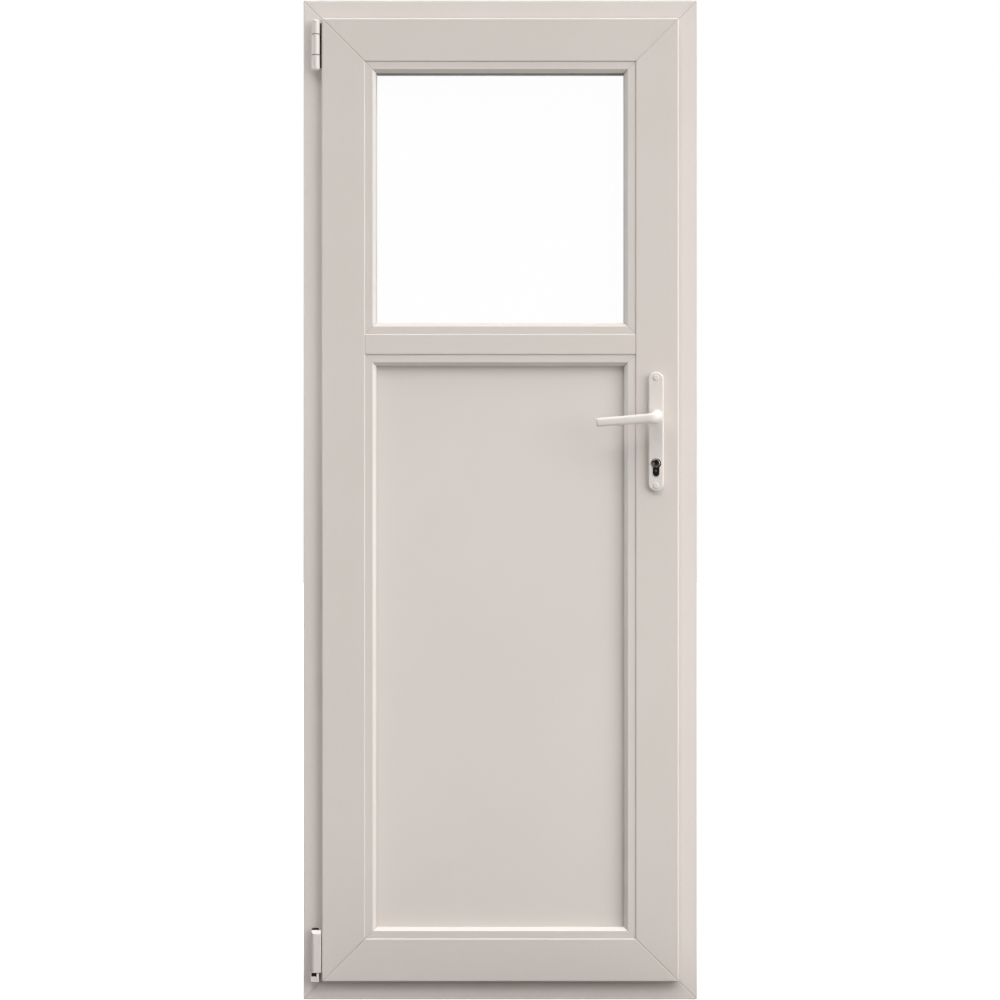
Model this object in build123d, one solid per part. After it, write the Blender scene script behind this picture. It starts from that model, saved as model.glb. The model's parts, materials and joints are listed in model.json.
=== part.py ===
from build123d import *

import math
import os

# White PVC-U service door: a welded frame, a leaf with a glazed upper light and a solid lower panel,
# two hinges at the left, and a lever handle set with a profile cylinder at the right.
# Millimetres. X runs to the right as seen from the room, Y from the room to the outside, Z up.
# The origin is the middle of the frame's underside.

# Door set
FRAME_WIDTH = 780.0
FRAME_HEIGHT = 1980.0
FRAME_DEPTH = 70.0
FRAME_FACE = 44.5  # from the wall side to the rebate
FRAME_MARGIN = 36.5  # strip of frame left showing round the closed leaf
FRAME_FLANGE = 17.0  # outer flange standing into the doorway
REBATE_GAP = 12.0  # between the frame's rebate and the leaf's edge
SEAL_GAP = 5.0  # under the leaf's lip, and behind the leaf
LEAF_PROUD = 16.0  # leaf's room face in front of the frame's

# Leaf
LEAF_DEPTH = 62.0
LEAF_FACE = 86.5  # stile and rail face, up to the beads
LEAF_FLANGE_DEPTH = 17.0  # fixed outer flange that the glass is bedded on
FLANGE_LIP = 6.0  # straight part of its edge, before the slope
FLANGE_SLOPE = 8.0  # the slope's width on the outer face
MID_RAIL_FACE = 42.0
GLASS_OPENING_HEIGHT = 538.0  # between the top rail and the mid rail
LEAF_EDGE_ROUND = 3.5
BEAD_EDGE_ROUND = 3.0  # face edges beside the beads

# Glazing
BEAD_WIDTH = 21.5
BEAD_SETBACK = 2.0
BEAD_BEVEL = 7.0
INNER_GASKET = 3.0
OUTER_GASKET = 4.0
GASKET_WIDTH = 7.0
GASKET_SETBACK = 1.0  # behind the sight line
UNIT_DEPTH = 24.0  # glass unit and lower panel alike
PANE_THICKNESS = 4.0
SPACER_WIDTH = 11.0
UNIT_EDGE_GAP = 5.0  # packing space round the unit

# Profile details
SOFT_EDGE = 2.0
SMALL_EDGE = 1.0
OUTER_EDGE = 3.0
WALL_EDGE = 1.5
CLIP_GROOVE_WIDTH = 6.0
CLIP_GROOVE_DEPTH = 5.0
CLIP_GROOVE_INSET = 12.0  # from either face of the frame
SEAL_GROOVE = 4.0
LEAF_SEAL_INSET = 4.0
FRAME_SEAL_INSET = 1.0
SEAL_CLEARANCE = 0.5
HARDWARE_GROOVE_WIDTH = 16.0
HARDWARE_GROOVE_DEPTH = 4.0
HARDWARE_GROOVE_INSET = 22.0  # from the leaf's room face
STRIKE_CHANNEL_DEPTH = 2.5
DRAIN_SLOT_LENGTH = 28.0
DRAIN_SLOT_HEIGHT = 5.0
DRAIN_SLOT_DEPTH = 8.0
DRAIN_SLOT_RISE = 24.0  # above the frame's underside
DRAIN_SLOT_SPACING = 460.0

# Hinges
HINGE_INSET = 24.5  # pin axis from the frame's wall side
HINGE_STANDOFF = 10.9  # pin axis in front of the frame's face
BARREL_RADIUS = 8.4
PIN_RADIUS = 3.5
PIN_CLEARANCE = 0.05
KNUCKLE_GAP = 1.0
TOP_HINGE_DROP = 2.5  # below the leaf's top edge
TOP_KNUCKLES = (29.0, 40.0, 30.0)  # from the top down; the middle one belongs to the leaf
HINGE_PLATE = 2.0
HINGE_ARM = 3.0
SLEEVE_LENGTH = 83.5
SLEEVE_REACH = 10.7  # from the pin axis towards the leaf
SLEEVE_BACK = 7.9  # from the pin axis away from it
SLEEVE_ROUND = 6.0
SLEEVE_CROWN = 7.0  # sloping top of the sleeve's cover
BEARING_HEIGHT = 18.0
BEARING_REACH = 6.5
BEARING_BACK = 11.0
BEARING_ROUND = 3.0
BEARING_SLOT = (-8.0, 2.4)  # from the pin axis
BEARING_SLOT_HEIGHT = 6.5
KNUCKLE_EDGE = 0.6  # where two knuckles meet
BARREL_END_ROUND = 4.5
PIN_IN_SLEEVE = 50.0
PIN_HEAD_FRONT = 6.0  # in front of the pin axis, in the bearing's slot
SLEEVE_PLUG_RADIUS = 7.5
SLEEVE_PLUG_HEIGHT = 4.0
SLEEVE_PLUG_ROUND = 3.2
SLEEVE_PLUG_ASIDE = -0.4  # from the pin axis towards the leaf

# Handle set
SPINDLE_HEIGHT = 1155.0
BACKSET = 26.0  # lock edge to spindle
CYLINDER_DROP = 92.0  # spindle to cylinder
PLATE_WIDTH = 30.0
PLATE_LENGTH = 235.0
PLATE_THICKNESS = 8.0
PLATE_END_RADIUS = 15.3
PLATE_EDGE_ROUND = 2.5
PLATE_BELOW_SPINDLE = 147.3
SCREW_SPACING = 213.0
SCREW_CAP_RADIUS = 6.4
SCREW_CAP_HEIGHT = 1.7
LEVER_LENGTH = 120.5  # from the spindle's axis
LEVER_REACH = 46.0  # blade's centre line in front of the leaf
LEVER_BEND = 18.0
LEVER_DROOP = 4.6  # degrees below level
NECK_RADIUS = 12.0
NECK_CLEARANCE = 0.3
NECK_GAP = 0.5  # between the neck's end and the leaf
BLADE_DROP = 3.5  # blade's centre line below the neck's
BLADE_ROOT = (19.4, 14.4)  # height and thickness
BLADE_TIP = (17.2, 11.0)
BLADE_END_ROUND = 3.4
SPINDLE_SQUARE = 8.0
SPINDLE_SOCKET = 24.0
SPINDLE_HOLE_RADIUS = 9.0

# Cylinder and lock
CYLINDER_RADIUS = 8.5
CYLINDER_STEM = 10.0
CYLINDER_HEIGHT = 33.0
CYLINDER_CLEARANCE = 0.3
CYLINDER_RECESS = 1.5  # end face below the plate's face
PLUG_RADIUS = 6.5
PLUG_CLEARANCE = 0.05
PLUG_DEPTH = 12.0
PLUG_DISH = 1.2
KEYHOLE_BEVEL = 0.8  # round the cylinder's hole in the plate
KEYHOLE_CLEARANCE = 1.6  # round the cylinder in the plate, and in the leaf behind it
KEYHOLE_DROP = 1.0  # its middle below the cylinder's
KEYHOLE_DEPTH = 12.0  # into the leaf
KEYWAY_WIDTH = 2.4
KEYWAY_HEIGHT = 8.5
KEYWAY_DEPTH = 9.0
FACEPLATE_LENGTH = 240.0
FACEPLATE_THICKNESS = 3.0
STRIKE_THICKNESS = 3.0
BOLT_CLEARANCE = 0.3
BOLT_DEPTH = 9.0  # behind the faceplate, drawn back
STRIKE_POCKET = 20.0
LATCH = (11.0, 30.0)  # across and tall
DEAD_BOLT = (11.0, 34.0)
LATCH_DROP = 2.0  # latch centre below the spindle
DEAD_BOLT_DROP = 118.0
LATCH_NOSE = 9.0  # sloping length of the latch's nose

# Places worked out from the sizes above
FRAME_ROOM_Y = -FRAME_DEPTH / 2
LEAF_ROOM_Y = FRAME_ROOM_Y - LEAF_PROUD
LEAF_OUT_Y = LEAF_ROOM_Y + LEAF_DEPTH
REBATE_DEPTH = LEAF_DEPTH - LEAF_PROUD + SEAL_GAP
LIP_DEPTH = LEAF_PROUD - SEAL_GAP
LIP_WIDTH = FRAME_FACE - FRAME_MARGIN + REBATE_GAP
GLAZING_DEPTH = LEAF_DEPTH - LEAF_FLANGE_DEPTH
UNIT_BACK = GLAZING_DEPTH - OUTER_GASKET
UNIT_FRONT = UNIT_BACK - UNIT_DEPTH
BEAD_BACK = UNIT_FRONT - INNER_GASKET
FRAME_BOX = (-FRAME_WIDTH / 2, FRAME_WIDTH / 2, 0.0, FRAME_HEIGHT)
LEAF_RIGHT = FRAME_WIDTH / 2 - FRAME_MARGIN
LEAF_BOTTOM = FRAME_MARGIN
LEAF_TOP = FRAME_HEIGHT - FRAME_MARGIN
LEAF_BOX = (-LEAF_RIGHT, LEAF_RIGHT, LEAF_BOTTOM, LEAF_TOP)
OPENING_RIGHT = LEAF_RIGHT - LEAF_FACE
MID_RAIL_TOP = LEAF_TOP - LEAF_FACE - GLASS_OPENING_HEIGHT
MID_RAIL_BOTTOM = MID_RAIL_TOP - MID_RAIL_FACE
GLASS_OPENING = (-OPENING_RIGHT, OPENING_RIGHT, MID_RAIL_TOP, LEAF_TOP - LEAF_FACE)
PANEL_OPENING = (-OPENING_RIGHT, OPENING_RIGHT, LEAF_BOTTOM + LEAF_FACE, MID_RAIL_BOTTOM)
HINGE_X = -FRAME_WIDTH / 2 + HINGE_INSET
HINGE_Y = FRAME_ROOM_Y - HINGE_STANDOFF
LEAF_EDGE_X = LEAF_RIGHT - LIP_WIDTH  # lock edge inside the rebate
LOCK_Y = LEAF_ROOM_Y + HARDWARE_GROOVE_INSET + HARDWARE_GROOVE_WIDTH / 2
SPINDLE_X = LEAF_EDGE_X - BACKSET
CYLINDER_Z = SPINDLE_HEIGHT - CYLINDER_DROP
PLATE_Z = SPINDLE_HEIGHT - PLATE_BELOW_SPINDLE + PLATE_LENGTH / 2
LATCH_Z = SPINDLE_HEIGHT - LATCH_DROP
DEAD_BOLT_Z = SPINDLE_HEIGHT - DEAD_BOLT_DROP
FACEPLATE_Z = (LATCH_Z + DEAD_BOLT_Z) / 2


# Shared shapes


def outline(*corners):
    """A closed section through (depth, across, radius) corners, rounded where a radius is given."""
    face = make_face(Polyline(*[corner[:2] for corner in corners], close=True))
    for depth, across, radius in corners:
        if radius:
            face = fillet(face.vertices().sort_by_distance((depth, across, 0))[0], radius)
    return face


def slot(depth, across):
    """A rectangle between two depths and two distances across, to cut from a section."""
    centre = Pos(sum(depth) / 2, sum(across) / 2)
    return centre * Rectangle(depth[1] - depth[0], across[1] - across[0])


def block(x, y, z):
    """A box between two places on each axis."""
    size = Box(x[1] - x[0], y[1] - y[0], z[1] - z[0])
    return Pos(sum(x) / 2, sum(y) / 2, sum(z) / 2) * size


def mitred_bar(section, length):
    """A section carried along X, cut at 45 degrees at both ends."""
    bar = extrude(Plane.YZ * section, length)
    bar = split(bar, Plane((0, 0, 0), z_dir=(1, 0, -1)), keep=Keep.TOP)
    return split(bar, Plane((length, 0, 0), z_dir=(-1, 0, -1)), keep=Keep.TOP)


def four_sides(section, face_y, box):
    """Bottom, top, left and right bars round a rectangle, the section running inwards from it."""
    left, right, bottom, top = box
    across, upright = mitred_bar(section, right - left), mitred_bar(section, top - bottom)
    return {
        "bottom": Pos(left, face_y, bottom) * across,
        "top": Pos(right, face_y, top) * Rot(0, 180, 0) * across,
        "left": Pos(left, face_y, top) * Rot(0, 90, 0) * upright,
        "right": Pos(right, face_y, bottom) * Rot(0, -90, 0) * upright,
    }


def loop(section, face_y, box):
    """The four bars welded into one ring."""
    bottom, *others = four_sides(section, face_y, box).values()
    return bottom.fuse(*others).clean()


def along_y(sketch, front, back):
    """A sketch seen from the room, carried from one depth to another."""
    return extrude(Plane.XZ.offset(-back) * sketch, back - front)


def upright(sketch, bottom, top):
    """A sketch seen from above, carried between two heights."""
    return extrude(Plane.XY.offset(bottom) * sketch, top - bottom)


def other_side(shape):
    """The same piece on the leaf's outer face."""
    return mirror(shape, about=Plane.XZ.offset(-(LEAF_ROOM_Y + LEAF_OUT_Y) / 2))


# Frame


def frame_section():
    inner, tip = FRAME_FACE, FRAME_FACE + FRAME_FLANGE
    section = outline(
        (0, 0, WALL_EDGE),
        (0, inner, SOFT_EDGE),
        (REBATE_DEPTH, inner, 0),
        (REBATE_DEPTH, tip, SMALL_EDGE),
        (FRAME_DEPTH, tip, OUTER_EDGE),
        (FRAME_DEPTH, 0, WALL_EDGE),
    )
    for start in (CLIP_GROOVE_INSET, FRAME_DEPTH - CLIP_GROOVE_INSET - CLIP_GROOVE_WIDTH):
        section -= slot((start, start + CLIP_GROOVE_WIDTH), (0, CLIP_GROOVE_DEPTH))
    seal = tip - FRAME_SEAL_INSET
    section -= slot((REBATE_DEPTH, REBATE_DEPTH + SEAL_GROOVE), (seal - SEAL_GROOVE, seal))
    channel = LOCK_Y - FRAME_ROOM_Y - HARDWARE_GROOVE_WIDTH / 2
    section -= slot((channel, channel + HARDWARE_GROOVE_WIDTH), (inner - STRIKE_CHANNEL_DEPTH, inner))
    return section


def frame_seal_section():
    """A square root in its groove and a round bulb that meets the leaf's outer face."""
    seal = FRAME_FACE + FRAME_FLANGE - FRAME_SEAL_INSET
    reach = SEAL_GAP - SEAL_CLEARANCE
    return outline(
        (REBATE_DEPTH + SEAL_GROOVE, seal - SEAL_GROOVE, 0),
        (REBATE_DEPTH + SEAL_GROOVE, seal, 0),
        (REBATE_DEPTH - reach, seal, SEAL_GROOVE * 0.45),
        (REBATE_DEPTH - reach, seal - SEAL_GROOVE, SEAL_GROOVE * 0.45),
    )


def bolt_openings(grow):
    """Latch and dead bolt as seen on the lock edge: (height, across, tall) of each."""
    for height, (across, tall) in ((LATCH_Z, LATCH), (DEAD_BOLT_Z, DEAD_BOLT)):
        yield height, across + 2 * grow, tall + 2 * grow


def bolt_blocks(x, grow):
    """A box for each bolt between two places on X, with room round it."""
    for height, across, tall in bolt_openings(grow):
        yield block(x, (LOCK_Y - across / 2, LOCK_Y + across / 2), (height - tall / 2, height + tall / 2))


def lock_edge_plate(x):
    """A strip with the bolts' two holes, standing on the lock edge."""
    plate = block(
        x,
        (LOCK_Y - HARDWARE_GROOVE_WIDTH / 2, LOCK_Y + HARDWARE_GROOVE_WIDTH / 2),
        (FACEPLATE_Z - FACEPLATE_LENGTH / 2, FACEPLATE_Z + FACEPLATE_LENGTH / 2),
    )
    for hole in bolt_blocks(x, BOLT_CLEARANCE):
        plate -= hole
    return plate


def drain_slot(x):
    """A round-ended slot in the sill's outer face, where water that gets in runs out."""
    slot_shape = Pos(x, DRAIN_SLOT_RISE) * SlotOverall(DRAIN_SLOT_LENGTH, DRAIN_SLOT_HEIGHT)
    return along_y(slot_shape, FRAME_DEPTH / 2 - DRAIN_SLOT_DEPTH, FRAME_DEPTH / 2)


def frame_parts():
    bars = four_sides(frame_section(), FRAME_ROOM_Y, FRAME_BOX)
    channel_x = FRAME_WIDTH / 2 - FRAME_FACE + STRIKE_CHANNEL_DEPTH
    for pocket in bolt_blocks((channel_x, channel_x + STRIKE_POCKET), BOLT_CLEARANCE):
        bars["right"] -= pocket
    for side in (-1, 1):
        bars["bottom"] -= drain_slot(side * DRAIN_SLOT_SPACING / 2)
    return {
        "frame_sill": bars["bottom"],
        "frame_head": bars["top"],
        "frame_hinge_jamb": bars["left"],
        "frame_lock_jamb": bars["right"],
        "frame_gasket": loop(frame_seal_section(), FRAME_ROOM_Y, FRAME_BOX),
        "strike_plate": lock_edge_plate((channel_x - STRIKE_THICKNESS, channel_x)),
    }


# Leaf


def leaf_corners():
    tip = LEAF_FACE + BEAD_WIDTH
    return (
        (0, 0, LEAF_EDGE_ROUND),
        (0, LEAF_FACE, BEAD_EDGE_ROUND),
        (GLAZING_DEPTH, LEAF_FACE, 0),
        (GLAZING_DEPTH, tip, SMALL_EDGE),
        (GLAZING_DEPTH + FLANGE_LIP, tip, SOFT_EDGE),
        (LEAF_DEPTH, tip - FLANGE_SLOPE, SOFT_EDGE),
        (LEAF_DEPTH, LIP_WIDTH, SOFT_EDGE),
        (LIP_DEPTH, LIP_WIDTH, 0),
        (LIP_DEPTH, 0, SMALL_EDGE),
    )


def leaf_section():
    section = outline(*leaf_corners())
    groove = HARDWARE_GROOVE_INSET
    section -= slot((groove, groove + HARDWARE_GROOVE_WIDTH), (LIP_WIDTH, LIP_WIDTH + HARDWARE_GROOVE_DEPTH))
    seal = LEAF_SEAL_INSET
    return section - slot((LIP_DEPTH - SEAL_GROOVE, LIP_DEPTH), (seal, seal + SEAL_GROOVE))


def leaf_seal_section():
    """A square root in the lip's groove and a round bulb that meets the frame's face."""
    reach = LIP_DEPTH + SEAL_GAP - SEAL_CLEARANCE
    seal = LEAF_SEAL_INSET
    return outline(
        (LIP_DEPTH - SEAL_GROOVE, seal, 0),
        (LIP_DEPTH - SEAL_GROOVE, seal + SEAL_GROOVE, 0),
        (reach, seal + SEAL_GROOVE, SEAL_GROOVE * 0.45),
        (reach, seal, SEAL_GROOVE * 0.45),
    )


def mid_rail():
    """A T section whose ends are milled to the stiles' shape, with that shape's corners left sharp."""
    web, wing = MID_RAIL_FACE / 2, MID_RAIL_FACE / 2 + BEAD_WIDTH
    slope = wing - FLANGE_SLOPE
    section = outline(
        (0, -web, BEAD_EDGE_ROUND),
        (0, web, BEAD_EDGE_ROUND),
        (GLAZING_DEPTH, web, 0),
        (GLAZING_DEPTH, wing, SMALL_EDGE),
        (GLAZING_DEPTH + FLANGE_LIP, wing, SOFT_EDGE),
        (LEAF_DEPTH, slope, SOFT_EDGE),
        (LEAF_DEPTH, -slope, SOFT_EDGE),
        (GLAZING_DEPTH + FLANGE_LIP, -wing, SOFT_EDGE),
        (GLAZING_DEPTH, -wing, SMALL_EDGE),
        (GLAZING_DEPTH, -web, 0),
    )
    rail = Pos(-OPENING_RIGHT, 0, 0) * extrude(Plane.YZ * section, 2 * OPENING_RIGHT)
    rail = Pos(0, LEAF_ROOM_Y, (MID_RAIL_TOP + MID_RAIL_BOTTOM) / 2) * rail
    sharp = outline(*[(depth, across, 0) for depth, across, _ in leaf_corners()])
    stiles = four_sides(sharp, LEAF_ROOM_Y, LEAF_BOX)
    return rail - stiles["left"] - stiles["right"]


def bead_section():
    """A flat strip with a bevelled inner edge."""
    return outline(
        (BEAD_SETBACK, 0, 0),
        (BEAD_SETBACK, BEAD_WIDTH - BEAD_BEVEL, SMALL_EDGE),
        (BEAD_SETBACK + BEAD_BEVEL, BEAD_WIDTH, SMALL_EDGE),
        (BEAD_BACK, BEAD_WIDTH, 0),
        (BEAD_BACK, 0, 0),
    )


def beads(name, opening):
    bars = four_sides(bead_section(), LEAF_ROOM_Y, opening)
    sides = {"bottom": "bottom", "top": "top", "left": "hinge_side", "right": "lock_side"}
    return {f"{name}_bead_{sides[side]}": bar for side, bar in bars.items()}


def unit_gaskets(opening):
    """The strips that bed a unit against its beads and against the outer flange."""
    across = (BEAD_WIDTH - GASKET_SETBACK - GASKET_WIDTH, BEAD_WIDTH - GASKET_SETBACK)
    strips = [
        loop(slot(depth, across), LEAF_ROOM_Y, opening)
        for depth in ((BEAD_BACK, UNIT_FRONT), (UNIT_BACK, GLAZING_DEPTH))
    ]
    return Compound(strips)


def sheet(opening, front, back):
    """A pane or panel filling an opening's rebates, with packing space round it."""
    left, right, bottom, top = opening
    gap = UNIT_EDGE_GAP
    return block(
        (left + gap, right - gap),
        (LEAF_ROOM_Y + front, LEAF_ROOM_Y + back),
        (bottom + gap, top - gap),
    )


def glass_unit():
    cavity = (UNIT_FRONT + PANE_THICKNESS, UNIT_BACK - PANE_THICKNESS)
    spacer = slot(cavity, (UNIT_EDGE_GAP, UNIT_EDGE_GAP + SPACER_WIDTH))
    return {
        "glass_inner_pane": sheet(GLASS_OPENING, UNIT_FRONT, cavity[0]),
        "glass_outer_pane": sheet(GLASS_OPENING, cavity[1], UNIT_BACK),
        "glass_spacer": loop(spacer, LEAF_ROOM_Y, GLASS_OPENING),
    }


def cylinder_outline(grow):
    """The profile cylinder's round head and round-ended stem, with room round them."""
    foot = CYLINDER_HEIGHT - CYLINDER_RADIUS - CYLINDER_STEM / 2
    stem = CYLINDER_STEM / 2 + grow
    shape = Circle(CYLINDER_RADIUS + grow) + Pos(0, -foot / 2) * Rectangle(2 * stem, foot)
    return Pos(SPINDLE_X, CYLINDER_Z) * (shape + Pos(0, -foot) * Circle(stem))


def keyhole():
    """The wider hole that the cylinder's ends stand in."""
    return Pos(0, -KEYHOLE_DROP) * cylinder_outline(KEYHOLE_CLEARANCE)


def lock_stile(bar):
    """The stile with its holes for spindle, cylinder and bolts."""
    bar -= along_y(Pos(SPINDLE_X, SPINDLE_HEIGHT) * Circle(SPINDLE_HOLE_RADIUS), LEAF_ROOM_Y, LEAF_OUT_Y)
    bar -= along_y(cylinder_outline(CYLINDER_CLEARANCE), LEAF_ROOM_Y, LEAF_OUT_Y)
    for front in (LEAF_ROOM_Y, LEAF_OUT_Y - KEYHOLE_DEPTH):
        bar -= along_y(keyhole(), front, front + KEYHOLE_DEPTH)
    seat = LEAF_EDGE_X - HARDWARE_GROOVE_DEPTH
    for pocket in bolt_blocks((seat - BOLT_DEPTH, seat), BOLT_CLEARANCE):
        bar -= pocket
    return bar


def lock_parts():
    seat = LEAF_EDGE_X - HARDWARE_GROOVE_DEPTH
    face = seat + FACEPLATE_THICKNESS
    latch, dead_bolt = bolt_blocks((seat - BOLT_DEPTH, face), 0)
    half = LATCH[0] / 2
    nose = make_face(
        Polyline(
            (face - LATCH_NOSE, LOCK_Y - half),
            (face, LOCK_Y - half),
            (face, LOCK_Y + half - SMALL_EDGE),
            close=True,
        )
    )
    latch -= upright(nose, LATCH_Z - LATCH[1] / 2, LATCH_Z + LATCH[1] / 2)
    return {
        "lock_faceplate": lock_edge_plate((seat, face)),
        "latch_bolt": latch,
        "dead_bolt": dead_bolt,
    }


def leaf_parts():
    bars = four_sides(leaf_section(), LEAF_ROOM_Y, LEAF_BOX)
    return {
        "leaf_bottom_rail": bars["bottom"],
        "leaf_top_rail": bars["top"],
        "leaf_hinge_stile": bars["left"],
        "leaf_lock_stile": lock_stile(bars["right"]),
        "leaf_mid_rail": mid_rail(),
        "leaf_gasket": loop(leaf_seal_section(), LEAF_ROOM_Y, LEAF_BOX),
        **beads("glass", GLASS_OPENING),
        **beads("panel", PANEL_OPENING),
        **glass_unit(),
        "lower_panel": sheet(PANEL_OPENING, UNIT_FRONT, UNIT_BACK),
        "glass_gaskets": unit_gaskets(GLASS_OPENING),
        "panel_gaskets": unit_gaskets(PANEL_OPENING),
        **lock_parts(),
    }


# Hinges


def on_axis(radius, bottom, top):
    """A round bar on the pin axis."""
    return upright(Pos(HINGE_X, HINGE_Y) * Circle(radius), bottom, top)


def knuckle(bottom, top, lower_round, upper_round):
    """One length of the barrel, its two ends rounded each by its own radius."""
    bar = on_axis(BARREL_RADIUS, bottom, top)
    for end, radius in ((0, lower_round), (-1, upper_round)):
        bar = fillet(bar.edges().filter_by(GeomType.CIRCLE).sort_by(Axis.Z)[end], radius)
    return bar


def back_web(bottom, top):
    """The neck between a frame knuckle and the plate on the frame's face."""
    half = BARREL_RADIUS * 0.7
    return block((HINGE_X - half, HINGE_X + half), (HINGE_Y, FRAME_ROOM_Y), (bottom, top))


def leaf_arm(thickness, bottom, top):
    """The flat arm from the barrel to the back of the leaf's lip."""
    back = LEAF_ROOM_Y + LIP_DEPTH - SMALL_EDGE
    return block((HINGE_X, -LEAF_RIGHT), (back - thickness, back), (bottom, top))


def top_hinge():
    top = LEAF_TOP - TOP_HINGE_DROP
    upper, middle, lower = TOP_KNUCKLES
    upper_bottom = top - upper
    middle_top = upper_bottom - KNUCKLE_GAP
    middle_bottom = middle_top - middle
    lower_top = middle_bottom - KNUCKLE_GAP
    bottom = lower_top - lower
    bore = on_axis(PIN_RADIUS + PIN_CLEARANCE, bottom + OUTER_EDGE, top - OUTER_EDGE)

    plate_x = (HINGE_X - BARREL_RADIUS, HINGE_X + BARREL_RADIUS)
    bracket = block(plate_x, (FRAME_ROOM_Y - HINGE_PLATE, FRAME_ROOM_Y), (bottom, top))
    for low, high in ((upper_bottom, top), (bottom, lower_top)):
        ends = (KNUCKLE_EDGE, BARREL_END_ROUND) if high == top else (BARREL_END_ROUND, KNUCKLE_EDGE)
        bracket += knuckle(low, high, *ends) + back_web(low + OUTER_EDGE, high - OUTER_EDGE)

    leaf_knuckle = knuckle(middle_bottom, middle_top, KNUCKLE_EDGE, KNUCKLE_EDGE)
    leaf_knuckle += leaf_arm(HINGE_ARM, middle_bottom + KNUCKLE_EDGE, middle_top - KNUCKLE_EDGE)
    return {
        "top_hinge_frame_bracket": bracket - bore,
        "top_hinge_leaf_knuckle": leaf_knuckle - bore,
        "top_hinge_pin": on_axis(PIN_RADIUS, bottom + OUTER_EDGE, top - OUTER_EDGE),
    }


def cover_outline(back, reach, rounding):
    """A cover about the pin axis, rounded towards the frame's edge and nearly square towards the leaf."""
    body = slot((-back, reach), (-BARREL_RADIUS, BARREL_RADIUS))
    body = fillet(body.vertices().sort_by(Axis.X)[:2], rounding)
    return Pos(HINGE_X, HINGE_Y) * fillet(body.vertices().sort_by(Axis.X)[-2:], SOFT_EDGE)


def bottom_hinge():
    bottom = LEAF_BOTTOM
    bearing_top = bottom + BEARING_HEIGHT
    sleeve_bottom = bearing_top + KNUCKLE_GAP
    sleeve_top = sleeve_bottom + SLEEVE_LENGTH

    bearing = upright(cover_outline(BEARING_BACK, BEARING_REACH, BEARING_ROUND), bottom, bearing_top)
    bearing = fillet(bearing.faces().sort_by(Axis.Z)[0].edges(), SMALL_EDGE)
    bearing += back_web(bottom + SOFT_EDGE, bearing_top)
    slot_x = [HINGE_X + place for place in BEARING_SLOT]
    slot_bottom, slot_back = bearing_top - BEARING_SLOT_HEIGHT, HINGE_Y + BARREL_RADIUS / 2
    bearing -= block(slot_x, (HINGE_Y - BARREL_RADIUS, slot_back), (slot_bottom, bearing_top))
    bearing -= on_axis(PIN_RADIUS + PIN_CLEARANCE, bottom + OUTER_EDGE, bearing_top)
    pin_head = block(
        (slot_x[0] + PIN_CLEARANCE, slot_x[1] - PIN_CLEARANCE),
        (HINGE_Y - PIN_HEAD_FRONT, slot_back - PIN_CLEARANCE),
        (slot_bottom + PIN_CLEARANCE, bearing_top),
    )

    sleeve = upright(cover_outline(SLEEVE_BACK, SLEEVE_REACH, SLEEVE_ROUND), sleeve_bottom, sleeve_top)
    slope = make_face(
        Polyline(
            (HINGE_Y - BARREL_RADIUS, sleeve_top - SLEEVE_CROWN),
            (HINGE_Y - BARREL_RADIUS, sleeve_top),
            (HINGE_Y, sleeve_top),
            close=True,
        )
    )
    width = 2 * (BARREL_RADIUS + SLEEVE_REACH)
    sleeve -= Pos(HINGE_X - width / 2, 0, 0) * extrude(Plane.YZ * slope, width)
    sleeve += leaf_arm(HINGE_ARM, sleeve_bottom + SLEEVE_CROWN, sleeve_top - 2 * SLEEVE_CROWN)
    pin_top = sleeve_bottom + PIN_IN_SLEEVE
    plug = on_axis(SLEEVE_PLUG_RADIUS, sleeve_top, sleeve_top + SLEEVE_PLUG_HEIGHT)
    plug = fillet(plug.edges().filter_by(GeomType.CIRCLE).sort_by(Axis.Z)[-1], SLEEVE_PLUG_ROUND)
    plug = split(plug, Plane((HINGE_X, HINGE_Y, 0), z_dir=(0, 1, 0)), keep=Keep.TOP)
    plug = Pos(SLEEVE_PLUG_ASIDE, 0, 0) * plug
    return {
        "bottom_hinge_bearing": bearing,
        "bottom_hinge_leaf_sleeve": sleeve - on_axis(PIN_RADIUS + PIN_CLEARANCE, sleeve_bottom, pin_top),
        "bottom_hinge_pin": on_axis(PIN_RADIUS, bottom + OUTER_EDGE, pin_top) + pin_head,
        "bottom_hinge_plug": plug,
    }


# Handle set


def handle_plate():
    """A narrow plate with arched ends, rounded front edges and holes for neck and cylinder."""
    half = PLATE_WIDTH / 2
    arch = PLATE_END_RADIUS - math.sqrt(PLATE_END_RADIUS**2 - half**2)
    side = PLATE_LENGTH / 2 - arch
    edge = [
        Line((half, -side), (half, side)),
        ThreePointArc((half, side), (0, PLATE_LENGTH / 2), (-half, side)),
        Line((-half, side), (-half, -side)),
        ThreePointArc((-half, -side), (0, -PLATE_LENGTH / 2), (half, -side)),
    ]
    front = LEAF_ROOM_Y - PLATE_THICKNESS
    plate = along_y(Pos(SPINDLE_X, PLATE_Z) * make_face(edge), front, LEAF_ROOM_Y)
    plate = fillet(plate.faces().sort_by(Axis.Y)[0].edges(), PLATE_EDGE_ROUND)
    neck_hole = Pos(SPINDLE_X, SPINDLE_HEIGHT) * Circle(NECK_RADIUS + NECK_CLEARANCE)
    plate -= along_y(keyhole(), front, LEAF_ROOM_Y)
    rim = plate.faces().sort_by(Axis.Y)[0].inner_wires()[0].edges()
    plate = chamfer(rim, KEYHOLE_BEVEL)
    return plate - along_y(neck_hole, front, LEAF_ROOM_Y)


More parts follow.
